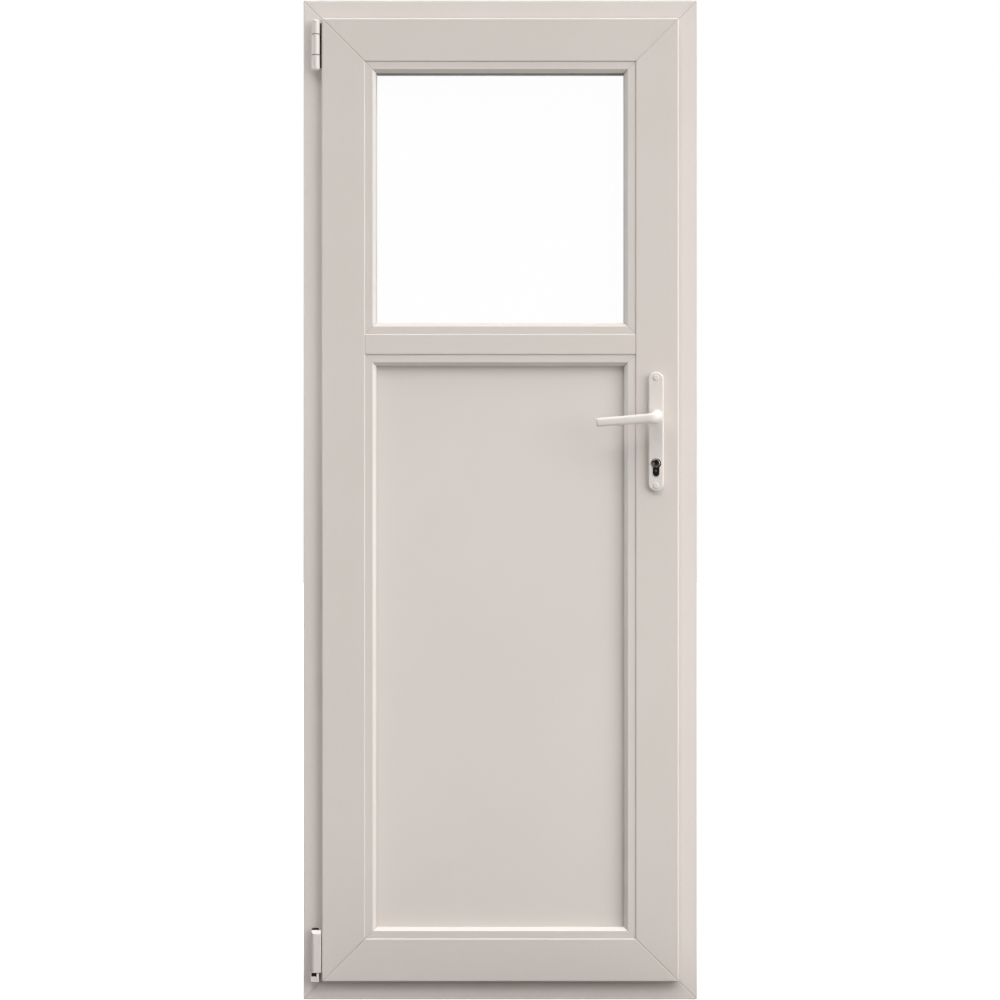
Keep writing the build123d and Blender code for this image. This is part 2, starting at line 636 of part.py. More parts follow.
def screw_cap(height):
    """A low dome over a fixing screw: a disc cut from a ball."""
    front = LEAF_ROOM_Y - PLATE_THICKNESS
    rise = SCREW_CAP_HEIGHT * 0.6
    ball = (SCREW_CAP_RADIUS**2 + rise**2) / (2 * rise)
    disc = along_y(Pos(SPINDLE_X, height) * Circle(SCREW_CAP_RADIUS), front - SCREW_CAP_HEIGHT, front)
    return disc & Pos(SPINDLE_X, front - SCREW_CAP_HEIGHT + ball, height) * Sphere(ball)


def oval(place, along, size, drop):
    """An oval section of the lever, its height upright, square to the way the lever runs there."""
    section = Plane((*place, -drop), x_dir=(0, 0, 1), z_dir=(*along, 0))
    return section * Ellipse(size[0] / 2, size[1] / 2)


def lever():
    """Round neck, quarter bend and tapering oval blade, then turned about the neck to droop."""
    corner, end = (0, LEVER_BEND - LEVER_REACH), (-LEVER_BEND, -LEVER_REACH)
    neck = oval(corner, (0, -1), (2 * NECK_RADIUS, 2 * NECK_RADIUS), 0)
    root = oval(end, (-1, 0), BLADE_ROOT, BLADE_DROP)
    tip = oval((-LEVER_LENGTH, -LEVER_REACH), (-1, 0), BLADE_TIP, BLADE_DROP)
    shape = extrude(neck, LEVER_REACH - LEVER_BEND - NECK_GAP, dir=(0, 1, 0))
    shape += sweep([neck, root], path=TangentArc(corner, end, tangent=(0, -1)), multisection=True)
    shape += loft([root, tip])
    shape = fillet(shape.faces().sort_by(Axis.X)[0].edges(), BLADE_END_ROUND)
    shape = Rot(0, -LEVER_DROOP, 0) * shape
    half = SPINDLE_SQUARE / 2
    socket = block((-half, half), (-SPINDLE_SOCKET, 0), (-half, half))
    return Pos(SPINDLE_X, LEAF_ROOM_Y, SPINDLE_HEIGHT) * (shape - socket)


def spindle():
    half = SPINDLE_SQUARE / 2
    return block(
        (SPINDLE_X - half, SPINDLE_X + half),
        (LEAF_ROOM_Y - SPINDLE_SOCKET, LEAF_OUT_Y + SPINDLE_SOCKET),
        (SPINDLE_HEIGHT - half, SPINDLE_HEIGHT + half),
    )


def cylinder_plug(front):
    """The turning plug, with its dished face and the key's slot."""
    plug = along_y(Pos(SPINDLE_X, CYLINDER_Z) * Circle(PLUG_RADIUS), front, front + PLUG_DEPTH)
    dish = Rot(90, 0, 0) * Cone(PLUG_RADIUS - SMALL_EDGE, PLUG_RADIUS / 2, PLUG_DISH)
    plug -= Pos(SPINDLE_X, front + PLUG_DISH / 2, CYLINDER_Z) * Rot(180, 0, 0) * dish
    keyway = Pos(SPINDLE_X, CYLINDER_Z) * Rectangle(KEYWAY_WIDTH, KEYWAY_HEIGHT)
    return plug - along_y(keyway, front, front + KEYWAY_DEPTH)


def handle_parts():
    front = LEAF_ROOM_Y - PLATE_THICKNESS + CYLINDER_RECESS
    back = LEAF_OUT_Y + PLATE_THICKNESS - CYLINDER_RECESS
    cylinder = along_y(cylinder_outline(0), front, back)
    plug = cylinder_plug(front)
    plug_bore = Pos(SPINDLE_X, CYLINDER_Z) * Circle(PLUG_RADIUS + PLUG_CLEARANCE)
    room_bore = along_y(plug_bore, front, front + PLUG_DEPTH)
    cylinder -= room_bore
    cylinder -= other_side(room_bore)
    plate = handle_plate()
    inside_lever = lever()
    caps = [screw_cap(PLATE_Z + side * SCREW_SPACING / 2) for side in (-1, 1)]
    return {
        "inside_handle_plate": plate,
        "outside_handle_plate": other_side(plate),
        "inside_screw_caps": Compound(caps),
        "lock_cylinder": cylinder,
        "inside_cylinder_plug": plug,
        "outside_cylinder_plug": other_side(plug),
        "inside_lever": inside_lever,
        "outside_lever": other_side(inside_lever),
        "spindle": spindle(),
    }


def main():
    os.makedirs("parts", exist_ok=True)
    parts = {**frame_parts(), **leaf_parts(), **top_hinge(), **bottom_hinge(), **handle_parts()}
    for name, shape in parts.items():
        export_step(shape, f"parts/{name}.step")
    print(len(parts), "pieces")


main()
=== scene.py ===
import json
import math
import bpy
import numpy as np
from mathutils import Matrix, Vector


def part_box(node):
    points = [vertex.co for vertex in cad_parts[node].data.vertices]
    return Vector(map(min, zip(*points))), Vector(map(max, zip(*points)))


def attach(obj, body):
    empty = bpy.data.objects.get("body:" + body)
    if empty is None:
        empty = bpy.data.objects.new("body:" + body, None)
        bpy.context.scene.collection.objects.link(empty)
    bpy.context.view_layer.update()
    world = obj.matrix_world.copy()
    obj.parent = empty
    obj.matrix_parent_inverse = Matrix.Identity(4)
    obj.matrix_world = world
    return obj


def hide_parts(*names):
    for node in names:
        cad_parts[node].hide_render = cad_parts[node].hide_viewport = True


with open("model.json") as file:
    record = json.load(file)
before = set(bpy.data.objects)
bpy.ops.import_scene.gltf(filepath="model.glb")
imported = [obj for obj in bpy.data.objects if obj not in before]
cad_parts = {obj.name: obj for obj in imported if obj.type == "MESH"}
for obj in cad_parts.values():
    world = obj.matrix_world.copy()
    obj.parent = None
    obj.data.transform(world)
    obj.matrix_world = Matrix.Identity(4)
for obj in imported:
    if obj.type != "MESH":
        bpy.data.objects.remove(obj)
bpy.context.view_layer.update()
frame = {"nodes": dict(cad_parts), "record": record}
mm = 0.001
overcut = 1.0 * mm  # how far a cut runs on past the face that it opens
print("frame loaded:", len(frame["nodes"]), "nodes")


# numbers from the frame

def spanOf(*names):
    # lowest and highest corner over several CAD nodes
    boxes = np.array([[tuple(corner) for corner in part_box(name)] for name in names])
    return boxes[:, 0].min(axis=0), boxes[:, 1].max(axis=0)


def middleOf(*names):
    # half way between the two corners
    low, high = spanOf(*names)
    return (low + high) / 2


frameBars = {"bottom": "frame_sill", "top": "frame_head",
             "left": "frame_hinge_jamb", "right": "frame_lock_jamb"}
leafBars = {"bottom": "leaf_bottom_rail", "top": "leaf_top_rail",
            "left": "leaf_hinge_stile", "right": "leaf_lock_stile"}
beadSides = {"bottom": "bottom", "top": "top", "left": "hinge_side", "right": "lock_side"}

frameLow, frameHigh = spanOf(*frameBars.values())
leafLow, leafHigh = spanOf(*leafBars.values())
frameRect = (frameLow[0], frameHigh[0], frameLow[2], frameHigh[2])
leafRect = (leafLow[0], leafHigh[0], leafLow[2], leafHigh[2])
leafFaceY, leafBackY = leafLow[1], leafHigh[1]
spindleAt = middleOf("spindle")


def openingRect(kind):
    # left, right, bottom and top of the beads round the glass or the panel
    low, high = spanOf(*[f"{kind}_bead_{side}" for side in beadSides.values()])
    return low[0], high[0], low[2], high[2]


# shapes: each shell is (vertices, faces, uv)

seamGuard = 0.6  # mm from a mitre's V to the ring that keeps the bar beyond it flat in shading
uvRadius = 10 * mm  # the uv of a round piece measures its angle at this radius


def roundedLoop(corners, steps=7, guard=0.4):
    # a closed section through (depth, across, radius) corners; a rounded corner is the arc that
    # touches both its sides, with a guard point on each side so that the flats stay flat in shading,
    # no further along than a third of what the arcs leave of that side
    spots = np.array([corner[:2] for corner in corners], float)
    radii = np.array([corner[2] for corner in corners], float)
    before = np.roll(spots, 1, axis=0) - spots
    after = np.roll(spots, -1, axis=0) - spots
    sides = np.linalg.norm(after, axis=1)
    before /= np.linalg.norm(before, axis=1, keepdims=True)
    after /= sides[:, None]
    opening = np.arccos(np.clip((before * after).sum(axis=1), -1, 1))
    reaches = radii / np.tan(opening / 2)
    guards = np.minimum((sides - reaches - np.roll(reaches, -1)) / 3, guard)
    share = np.linspace(0, 1, steps)[:, None]
    points = []
    for spot, back, ahead, angle, radius, reach, guardBack, guardAhead in zip(
            spots, before, after, opening, radii, reaches, np.roll(guards, 1), guards):
        if not radius:
            points.append(spot[None])
            continue
        bisector = (back + ahead) / np.linalg.norm(back + ahead)
        centre = spot + bisector * radius / math.sin(angle / 2)
        start = spot + back * reach - centre
        end = spot + ahead * reach - centre
        turn = math.pi - angle
        arc = centre + (start * np.sin((1 - share) * turn) + end * np.sin(share * turn)) / math.sin(turn)
        points.append((spot + back * (reach + guardBack))[None])
        points.append(arc)
        points.append((spot + ahead * (reach + guardAhead))[None])
    return np.concatenate(points)


def outwardNormals(loop):
    # the mean of the two side normals at each point, pointing out of the section
    ahead = np.roll(loop, -1, axis=0) - loop
    ahead /= np.linalg.norm(ahead, axis=1, keepdims=True)
    side = np.stack([ahead[:, 1], -ahead[:, 0]], axis=1)
    mean = side + np.roll(side, 1, axis=0)
    mean /= np.linalg.norm(mean, axis=1, keepdims=True)
    x, y = loop.T
    turn = np.sign(np.sum(x * np.roll(y, -1) - y * np.roll(x, -1)))
    return mean * turn


def girthOf(loop):
    # running length round a closed section, at each of its points
    sides = np.linalg.norm(np.diff(loop, axis=0), axis=1)
    return np.concatenate([[0], np.cumsum(sides)])


def tubeFaces(rings, count, capped=True):
    # quads between neighbouring closed rings, and the two end faces
    index = np.arange(rings * count).reshape(rings, count)
    low, high = index[:-1], index[1:]
    quads = np.stack([low, np.roll(low, -1, axis=1), np.roll(high, -1, axis=1), high], axis=-1)
    ends = [index[0][::-1].tolist(), index[-1].tolist()] if capped else []
    return quads.reshape(-1, 4).tolist() + ends


def outwards(verts, faces):
    # a closed shell whose signed volume is negative is turned over
    corners = [(f[0], f[k], f[k + 1]) for f in faces for k in range(1, len(f) - 1)]
    a, b, c = verts[np.array(corners).T]
    volume = np.einsum("ij,ij->", a, np.cross(b, c))
    return faces if volume > 0 else [f[::-1] for f in faces]


def ringShell(rings, uv, capped=True):
    # closed rings, shape (rings, points, 3), joined into one tube
    count, points = rings.shape[:2]
    verts = rings.reshape(-1, 3)
    faces = outwards(verts - verts.mean(axis=0), tubeFaces(count, points, capped))
    return verts, faces, uv.reshape(-1, 2)


def mitredBars(corners, rect, faceY, seam):
    # the section carried along the four sides of a rectangle; along = across at the 45 degree cuts,
    # and the end rings sink along the section's normal, over the seam's width, into a V at the joint
    loop = roundedLoop(corners)
    normal = outwardNormals(loop)
    girth = girthOf(loop) * mm
    inset = np.array([0, seam["width"], seam["width"] + seamGuard])
    sink = np.array([seam["sink"], 0, 0])
    depth = (loop[:, 0] - normal[:, 0] * sink[:, None]) * mm
    across = (loop[:, 1] - normal[:, 1] * sink[:, None]) * mm
    ends = across + inset[:, None] * mm
    left, right, bottom, top = rect
    sides = {"bottom": ((left, bottom), (1, 0), (0, 1), right - left),
             "top": ((right, top), (-1, 0), (0, -1), right - left),
             "left": ((left, top), (0, -1), (1, 0), top - bottom),
             "right": ((right, bottom), (0, 1), (-1, 0), top - bottom)}
    depths = np.vstack([depth, depth[::-1]])
    widths = np.vstack([across, across[::-1]])
    bars = {}
    for side, (corner, run, inward, length) in sides.items():
        along = np.vstack([ends, length - ends[::-1]])
        x = corner[0] + along * run[0] + widths * inward[0]
        z = corner[1] + along * run[1] + widths * inward[1]
        uv = np.stack([along, np.broadcast_to(girth, along.shape)], axis=-1)
        bars[side] = ringShell(np.stack([x, faceY + depths, z], axis=-1), uv)
    return bars


def straightBar(corners, middle, faceY, halfLength):
    # a section carried along X, its across measured from the middle height;
    # halfLength is a function of depth, so that an end can follow what it butts on
    loop = roundedLoop(corners)
    along = np.array([-1, 1])[:, None] * halfLength(loop[:, 0])
    depth = np.broadcast_to(faceY + loop[:, 0] * mm, along.shape)
    height = np.broadcast_to(middle + loop[:, 1] * mm, along.shape)
    uv = np.stack([along, np.broadcast_to(girthOf(loop) * mm, along.shape)], axis=-1)
    return ringShell(np.stack([along, depth, height], axis=-1), uv)


def prism(outline, axis, start, end):
    # a flat closed outline carried straight along one axis, 0 for X, 1 for Y, 2 for Z
    steps = np.array([start, end])[:, None] + np.zeros(len(outline))
    flat = np.broadcast_to(outline, (2, len(outline), 2))
    first, second = flat[..., 0], flat[..., 1]
    order = {0: (steps, first, second), 1: (first, steps, second), 2: (first, second, steps)}[axis]
    return ringShell(np.stack(order, axis=-1), np.stack([steps, first], axis=-1))


def turned(profile, centre, axis, way=1, around=48, capped=True):
    # a (radius, height) profile spun about an axis given as 0, 1 or 2,
    # its heights running along the axis or, where way is -1, against it
    radius, height = np.array(profile, float).T * np.array([[1], [way]]) * mm
    angle = np.linspace(0, 2 * math.pi, around, endpoint=False)
    a = radius[:, None] * np.cos(angle)
    b = radius[:, None] * np.sin(angle)
    h = np.broadcast_to(height[:, None], a.shape)
    order = {0: (h, a, b), 1: (a, h, b), 2: (a, b, h)}[axis]
    rings = np.stack(order, axis=-1) + np.array(centre)
    uv = np.stack([np.broadcast_to(angle * uvRadius, a.shape), h], axis=-1)
    return ringShell(rings, uv, capped)


def circleOutline(centre, radius, points=48):
    # cosine and sine of evenly spaced angles, times the radius
    angle = np.linspace(0, 2 * math.pi, points, endpoint=False)
    return np.array(centre) + radius * np.stack([np.cos(angle), np.sin(angle)], axis=1)


def boxOutline(low, high):
    # the four corners of a rectangle, in order round it
    return np.array([(low[0], low[1]), (high[0], low[1]), (high[0], high[1]), (low[0], high[1])])


# pieces

def newMesh(name, shells, crease):
    # several shells in one mesh, smooth but for edges sharper than the crease in degrees
    starts = np.cumsum([0] + [len(shell[0]) for shell in shells])
    verts = np.concatenate([shell[0] for shell in shells])
    faces = [[k + start for k in face] for shell, start in zip(shells, starts) for face in shell[1]]
    uv = np.concatenate([shell[2] for shell in shells])
    mesh = bpy.data.meshes.new(name)
    mesh.from_pydata(verts.tolist(), [], faces)
    corner = np.empty(len(mesh.loops), np.int32)
    mesh.loops.foreach_get("vertex_index", corner)
    mesh.uv_layers.new(name="UVMap").data.foreach_set("uv", uv[corner].astype(np.float32).ravel())
    mesh.shade_smooth()
    mesh.set_sharp_from_angle(angle=math.radians(crease))
    return mesh


def addPiece(name, shells, body, slot, stands=(), cuts=(), crease=34):
    # one object at the origin, riding on its body; cuts are shells taken away from it
    piece = bpy.data.objects.new(name, newMesh(name, shells, crease))
    bpy.context.scene.collection.objects.link(piece)
    if cuts:
        tool = bpy.data.objects.new(name + "Cut", newMesh(name + "Cut", cuts, crease))
        bpy.context.scene.collection.objects.link(tool)
        modifier = piece.modifiers.new("cut", "BOOLEAN")
        modifier.operation, modifier.solver, modifier.object = "DIFFERENCE", "EXACT", tool
        evaluated = piece.evaluated_get(bpy.context.evaluated_depsgraph_get())
        piece.data = bpy.data.meshes.new_from_object(evaluated)
        piece.modifiers.clear()
        bpy.data.objects.remove(tool)
        piece.data.shade_smooth()
        piece.data.set_sharp_from_angle(angle=math.radians(crease))
    piece.data.materials.clear()
    piece.data.materials.append(finishes[slot])
    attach(piece, body)
    if stands:
        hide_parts(*stands)
    return piece


# shader maths

class Wire:
    # one output of a node; arithmetic on it adds Math nodes
    def __init__(self, paint, socket):
        self.paint, self.socket = paint, socket

    def maths(self, operation, *values):
        return self.paint.node("ShaderNodeMath", {"operation": operation}, dict(enumerate(values)))

    def __add__(self, other):
        return self.maths("ADD", self, other)

    def __radd__(self, other):
        return self.maths("ADD", other, self)

    def __sub__(self, other):
        return self.maths("SUBTRACT", self, other)

    def __rsub__(self, other):
        return self.maths("SUBTRACT", other, self)

    def __mul__(self, other):
        return self.maths("MULTIPLY", self, other)

    def __rmul__(self, other):
        return self.maths("MULTIPLY", other, self)

    def __truediv__(self, other):
        return self.maths("DIVIDE", self, other)

    def __rtruediv__(self, other):
        return self.maths("DIVIDE", other, self)

    def __pow__(self, other):
        return self.maths("POWER", self, other)

    def __abs__(self):
        return self.maths("ABSOLUTE", self)

    def least(self, other):
        return self.maths("MINIMUM", self, other)

    def most(self, other):
        return self.maths("MAXIMUM", self, other)

    def swing(self, share):
        # a noise, whose mean is a half, as a change either way
        return (self - 0.5) * share


class Paint:
    # the node tree of a material or of the world, under construction
    def __init__(self, owner, output="ShaderNodeOutputMaterial", place="Object"):
        owner.use_nodes = True
        self.owner, self.tree = owner, owner.node_tree
        self.tree.nodes.clear()
        self.output = self.tree.nodes.new(output)
        self.object = self.node("ShaderNodeTexCoord", {}, {}, place)
        self.x, self.y, self.z = self.split(self.object)

    def node(self, kind, settings, sockets, out=0):
        made = self.tree.nodes.new(kind)
        for key, value in settings.items():
            setattr(made, key, value)
        for key, value in sockets.items():
            if isinstance(value, Wire):
                self.tree.links.new(value.socket, made.inputs[key])
            else:
                made.inputs[key].default_value = value
        return Wire(self, made.outputs[out])

    def split(self, vector):
        node = self.node("ShaderNodeSeparateXYZ", {}, {0: vector}).socket.node
        return [Wire(self, socket) for socket in node.outputs]

    def stretched(self, vector, scale):
        return self.node("ShaderNodeMapping", {}, {"Vector": vector, "Scale": scale})

    def noise(self, scale, detail=3.0, rough=0.5, vector=None):
        return self.node("ShaderNodeTexNoise", {}, {"Vector": vector or self.object, "Scale": scale,
                                                    "Detail": detail, "Roughness": rough})

    def fade(self, value, low, high):
        # 0 below low, 1 above high, smooth between; low above high turns it round
        return self.node("ShaderNodeMapRange", {"interpolation_type": "SMOOTHSTEP"},
                         {"Value": value, "From Min": low, "From Max": high})

    def blend(self, factor, first, second, kind="MIX"):
        # a Mix node's colours are its inputs 6 and 7 and its output 2
        wide = [(*c, 1) if isinstance(c, tuple) else c for c in (first, second)]
        return self.node("ShaderNodeMix", {"data_type": "RGBA", "blend_type": kind},
                         {0: factor, 6: wide[0], 7: wide[1]}, 2)

    def bump(self, height, strength, distance):
        return self.node("ShaderNodeBump", {}, {"Height": height, "Strength": strength, "Distance": distance})

    def shown(self, shader):
        self.tree.links.new(shader.socket, self.output.inputs["Surface"])
        return self.owner

    def finish(self, sockets):
        return self.shown(self.node("ShaderNodeBsdfPrincipled", {}, sockets))


# finishes; a noise is its scale, detail and roughness, a fade is where it starts and ends,
# and a bump is its strength and depth

whitePlastic = {
    "frame_pvc": {"colour": (0.87, 0.81, 0.77), "shade": (0.79, 0.725, 0.68), "rough": 0.34, "gloss": 0.45,
                  "seams": [frameRect], "seamDepth": 0.65, "edgeShadeDepth": 0.3},
    "leaf_pvc": {"colour": (0.80, 0.742, 0.70), "shade": (0.73, 0.67, 0.62), "rough": 0.30, "gloss": 0.45,
                 "seams": [leafRect], "seamDepth": 0.65},
    "bead_pvc": {"colour": (0.815, 0.758, 0.718), "shade": (0.745, 0.685, 0.64), "rough": 0.24, "gloss": 0.6,
                 "seams": [openingRect("glass"), openingRect("panel")], "seamDepth": 0.45},
}
plasticMarks = {
    # the seam colour also paints the shade line round the frame's outer edge
    "pinhole": (0.5, 0.44, 0.38), "lowColour": (0.5, 0.43, 0.35), "seam": (0.42, 0.37, 0.33),
    "cloudNoise": (3.5, 4), "grainNoise": (900, 2), "mottleNoise": (220, 2), "pinholeNoise": (420, 1),
    "lineNoise": (1.0, 3, 0.6), "lineStretch": (3, 900, 1),
    "toneFade": (0.35, 0.75), "pinholeFade": (0.26, 0.2), "lowHeight": (0.16, 0.02), "lowPatchFade": (0.4, 0.6),
    "lining": 0.18, "clouding": 0.25, "mottling": 0.16, "pinholing": 0.25, "lowDarkening": 0.12,
    "seamWidth": 0.9 * mm, "edgeWidth": 1.6 * mm, "core": 0.4,  # core: the share of a width that is full dark
    "cloudRough": 0.08, "lineRough": 0.1, "lineHeight": 0.5, "grainHeight": 0.5, "bump": (0.05, 0.4 * mm),
    "ior": 1.5,
}


def plasticProfile(name, look):
    # extruded white plastic: cloudy tone, fine lines along the extrusion, pinholes, weld lines with painted
    # shade in their V
    paint, marks = Paint(bpy.data.materials.new(name)), plasticMarks
    cloud = paint.noise(*marks["cloudNoise"])
    grain = paint.noise(*marks["grainNoise"])
    mottle = paint.noise(*marks["mottleNoise"])
    uv = paint.node("ShaderNodeTexCoord", {}, {}, "UV")
    lines = paint.noise(*marks["lineNoise"], paint.stretched(uv, marks["lineStretch"]))
    pinhole = paint.fade(paint.noise(*marks["pinholeNoise"]), *marks["pinholeFade"])
    streaks = cloud * (1 - marks["lining"]) + lines * marks["lining"]
    tone = paint.blend(paint.fade(streaks, *marks["toneFade"]), look["shade"], look["colour"])
    tone = paint.blend(marks["clouding"], look["colour"], tone)
    tone = paint.blend(mottle * marks["mottling"], tone, look["shade"], "MULTIPLY")
    tone = paint.blend(pinhole * marks["pinholing"], tone, marks["pinhole"])
    # patches darker towards the bottom
    low = paint.fade(paint.z, *marks["lowHeight"]) * paint.fade(cloud, *marks["lowPatchFade"])
    tone = paint.blend(low * marks["lowDarkening"], tone, marks["lowColour"])
    for left, right, bottom, top in look["seams"]:
        # a mitre runs where a point is as far from the nearer side as from the nearer end
        toSide = (right - left) / 2 - abs(paint.x - (left + right) / 2)
        toEnd = (top - bottom) / 2 - abs(paint.z - (bottom + top) / 2)
        # the dark line along each mitre is partly the weld's own line and partly painted shade in its V
        seam = paint.fade(abs(toSide - toEnd), marks["seamWidth"], marks["seamWidth"] * marks["core"])
        tone = paint.blend(seam * look["seamDepth"], tone, marks["seam"])
        # a painted shade line round the frame's outer edge, in the seam colour
        if "edgeShadeDepth" in look:
            edge = paint.fade(toSide.least(toEnd), marks["edgeWidth"], marks["edgeWidth"] * marks["core"])
            tone = paint.blend(edge * look["edgeShadeDepth"], tone, marks["seam"])
    rough = look["rough"] + cloud.swing(marks["cloudRough"]) + lines.swing(marks["lineRough"])
    height = lines * marks["lineHeight"] + grain * marks["grainHeight"]
    return paint.finish({"Base Color": tone, "Roughness": rough, "Normal": paint.bump(height, *marks["bump"]),
                         "IOR": marks["ior"], "Specular IOR Level": look["gloss"]})


panelLook = {
    "colour": (0.825, 0.767, 0.725), "shade": (0.765, 0.705, 0.66), "scuff": (0.5, 0.46, 0.42), "rough": 0.42,
    "cloudNoise": (2.2, 5), "rippleNoise": (14, 2, 0.4), "scuffNoise": (6, 6, 0.7), "grainNoise": (1100, 1),
    "rippleStretch": (1, 1, 0.35), "scuffStretch": (9, 1, 1),
    "toneFade": (0.35, 0.7), "scuffFade": (0.66, 0.74),
    "clouding": 0.35, "scuffing": 0.05, "rippleRough": 0.1, "scuffRough": 0.1,
    "rippleHeight": 0.8, "grainHeight": 0.06, "bump": (0.06, 1.0 * mm), "gloss": 0.4,
}


def panelSkin(name):
    # flat sheet skin: faint pressed ripple, a few scuffs
    paint, look = Paint(bpy.data.materials.new(name)), panelLook
    cloud = paint.noise(*look["cloudNoise"])
    ripple = paint.noise(*look["rippleNoise"], paint.stretched(paint.object, look["rippleStretch"]))
    scratch = paint.noise(*look["scuffNoise"], paint.stretched(paint.object, look["scuffStretch"]))
    scuff = paint.fade(scratch, *look["scuffFade"])
    tone = paint.blend(paint.fade(cloud, *look["toneFade"]), look["shade"], look["colour"])
    tone = paint.blend(look["clouding"], look["colour"], tone)
    tone = paint.blend(scuff * look["scuffing"], tone, look["scuff"])
    rough = look["rough"] + ripple.swing(look["rippleRough"]) + scuff * look["scuffRough"]
    height = ripple * look["rippleHeight"] + paint.noise(*look["grainNoise"]) * look["grainHeight"]
    return paint.finish({"Base Color": tone, "Roughness": rough, "Normal": paint.bump(height, *look["bump"]),
                         "Specular IOR Level": look["gloss"]})


knuckleGap = 1.0 * mm  # between the upper hinge's knuckles
hingeAxisX = float(middleOf("top_hinge_pin")[0])
knuckleLow, knuckleHigh = spanOf("top_hinge_leaf_knuckle")
powderLooks = {
    "plate": {"colour": (0.84, 0.785, 0.745), "shade": (0.76, 0.705, 0.66), "rough": 0.28},
    "lever": {"colour": (0.84, 0.785, 0.745), "shade": (0.77, 0.715, 0.675), "rough": 0.2},
    # the upper hinge's coat is a darker copy of the lower hinge's: painted shade
    "topHinge": {"colour": (0.81, 0.755, 0.715), "shade": (0.73, 0.675, 0.63), "rough": 0.20,
                 "gapShadeFrom": hingeAxisX + 8.2 * mm,
                 "joints": [float(knuckleLow[2]) - knuckleGap / 2, float(knuckleHigh[2]) + knuckleGap / 2]},
    "bottomHinge": {"colour": (0.84, 0.785, 0.745), "shade": (0.76, 0.70, 0.66), "rough": 0.20,
                    "gapShadeFrom": hingeAxisX + 10.9 * mm},
}
powderMarks = {
    # the nearly black colour past the hinge's edge and the joint colour are painted shade
    "handled": (0.5, 0.45, 0.4), "gapShade": (0.03, 0.029, 0.028), "joint": (0.2, 0.18, 0.165),
    "peelNoise": (650, 2, 0.45), "cloudNoise": (30, 4), "markNoise": (90, 5, 0.65),
    "toneFade": (0.3, 0.75), "markFade": (0.64, 0.72),
    "gapShadeWidth": 0.3 * mm, "jointShadeWidth": 1.2 * mm, "core": 0.5,
    "clouding": 0.3, "handling": 0.1, "jointShadeDepth": 0.7, "peelRough": 0.1, "markRough": 0.15,
    "bump": (0.08, 0.6 * mm), "gloss": 0.5, "coat": 0.2, "coatRough": 0.15,
}


def powderCoat(name, look):
    # white powder coat: orange peel, faint handling marks, painted shade along the knuckles' joints,
    # and nearly black painted shade beyond a place along X, over what sits in the gap to the leaf
    paint, marks = Paint(bpy.data.materials.new(name)), powderMarks
    peel = paint.noise(*marks["peelNoise"])
    cloud = paint.noise(*marks["cloudNoise"])
    mark = paint.fade(paint.noise(*marks["markNoise"]), *marks["markFade"])
    tone = paint.blend(paint.fade(cloud, *marks["toneFade"]), look["shade"], look["colour"])
    tone = paint.blend(marks["clouding"], look["colour"], tone)
    tone = paint.blend(mark * marks["handling"], tone, marks["handled"])
    # past this place along X, in the gap to the leaf, the coat is painted shade, nearly black
    if "gapShadeFrom" in look:
        gapShade = paint.fade(paint.x, look["gapShadeFrom"], look["gapShadeFrom"] + marks["gapShadeWidth"])
        tone = paint.blend(gapShade, tone, marks["gapShade"])
    # a painted shade line along each gap between the knuckles
    for height in look.get("joints", ()):
        joint = paint.fade(abs(paint.z - height), marks["jointShadeWidth"], marks["jointShadeWidth"] * marks["core"])
        tone = paint.blend(joint * marks["jointShadeDepth"], tone, marks["joint"])
    rough = look["rough"] + peel.swing(marks["peelRough"]) + mark * marks["markRough"]
    return paint.finish({"Base Color": tone, "Roughness": rough, "Normal": paint.bump(peel, *marks["bump"]),
                         "Specular IOR Level": marks["gloss"], "Coat Weight": marks["coat"],
                         "Coat Roughness": marks["coatRough"]})


steelLook = {
    "colour": (0.62, 0.62, 0.63), "shade": (0.45, 0.45, 0.46), "rough": 0.34, "metal": 0.95,
    "brushNoise": (1.0, 3, 0.6), "brushStretch": (2200, 2200, 60), "cloudNoise": (140, 3), "brushing": 0.4,
    "brushRough": 0.25, "bump": (0.08, 0.3 * mm),
}


def zincSteel(name):
    # zinc plate: spangled tone, lines along the strip
    paint, look = Paint(bpy.data.materials.new(name)), steelLook
    brushed = paint.noise(*look["brushNoise"], paint.stretched(paint.object, look["brushStretch"]))
    cloud = paint.noise(*look["cloudNoise"])
    spangle = cloud * (1 - look["brushing"]) + brushed * look["brushing"]
    tone = paint.blend(spangle, look["shade"], look["colour"])
    rough = look["rough"] + brushed.swing(look["brushRough"])
    return paint.finish({"Base Color": tone, "Roughness": rough, "Metallic": look["metal"],
                         "Normal": paint.bump(brushed, *look["bump"])})


darkLook = {
    "colour": (0.022, 0.021, 0.02), "worn": (0.30, 0.28, 0.26), "rough": 0.30, "metal": 0.7,
    "ringNoise": (1.0, 2, 0.5), "ringsPerMetre": 4200, "rubNoise": (520, 4, 0.65),
    "rubFade": (0.56, 0.7), "ringFade": (0.45, 0.8), "rubbing": 0.35, "turning": 0.25,
    "ringRough": 0.2, "bump": (0.15, 0.3 * mm),
}


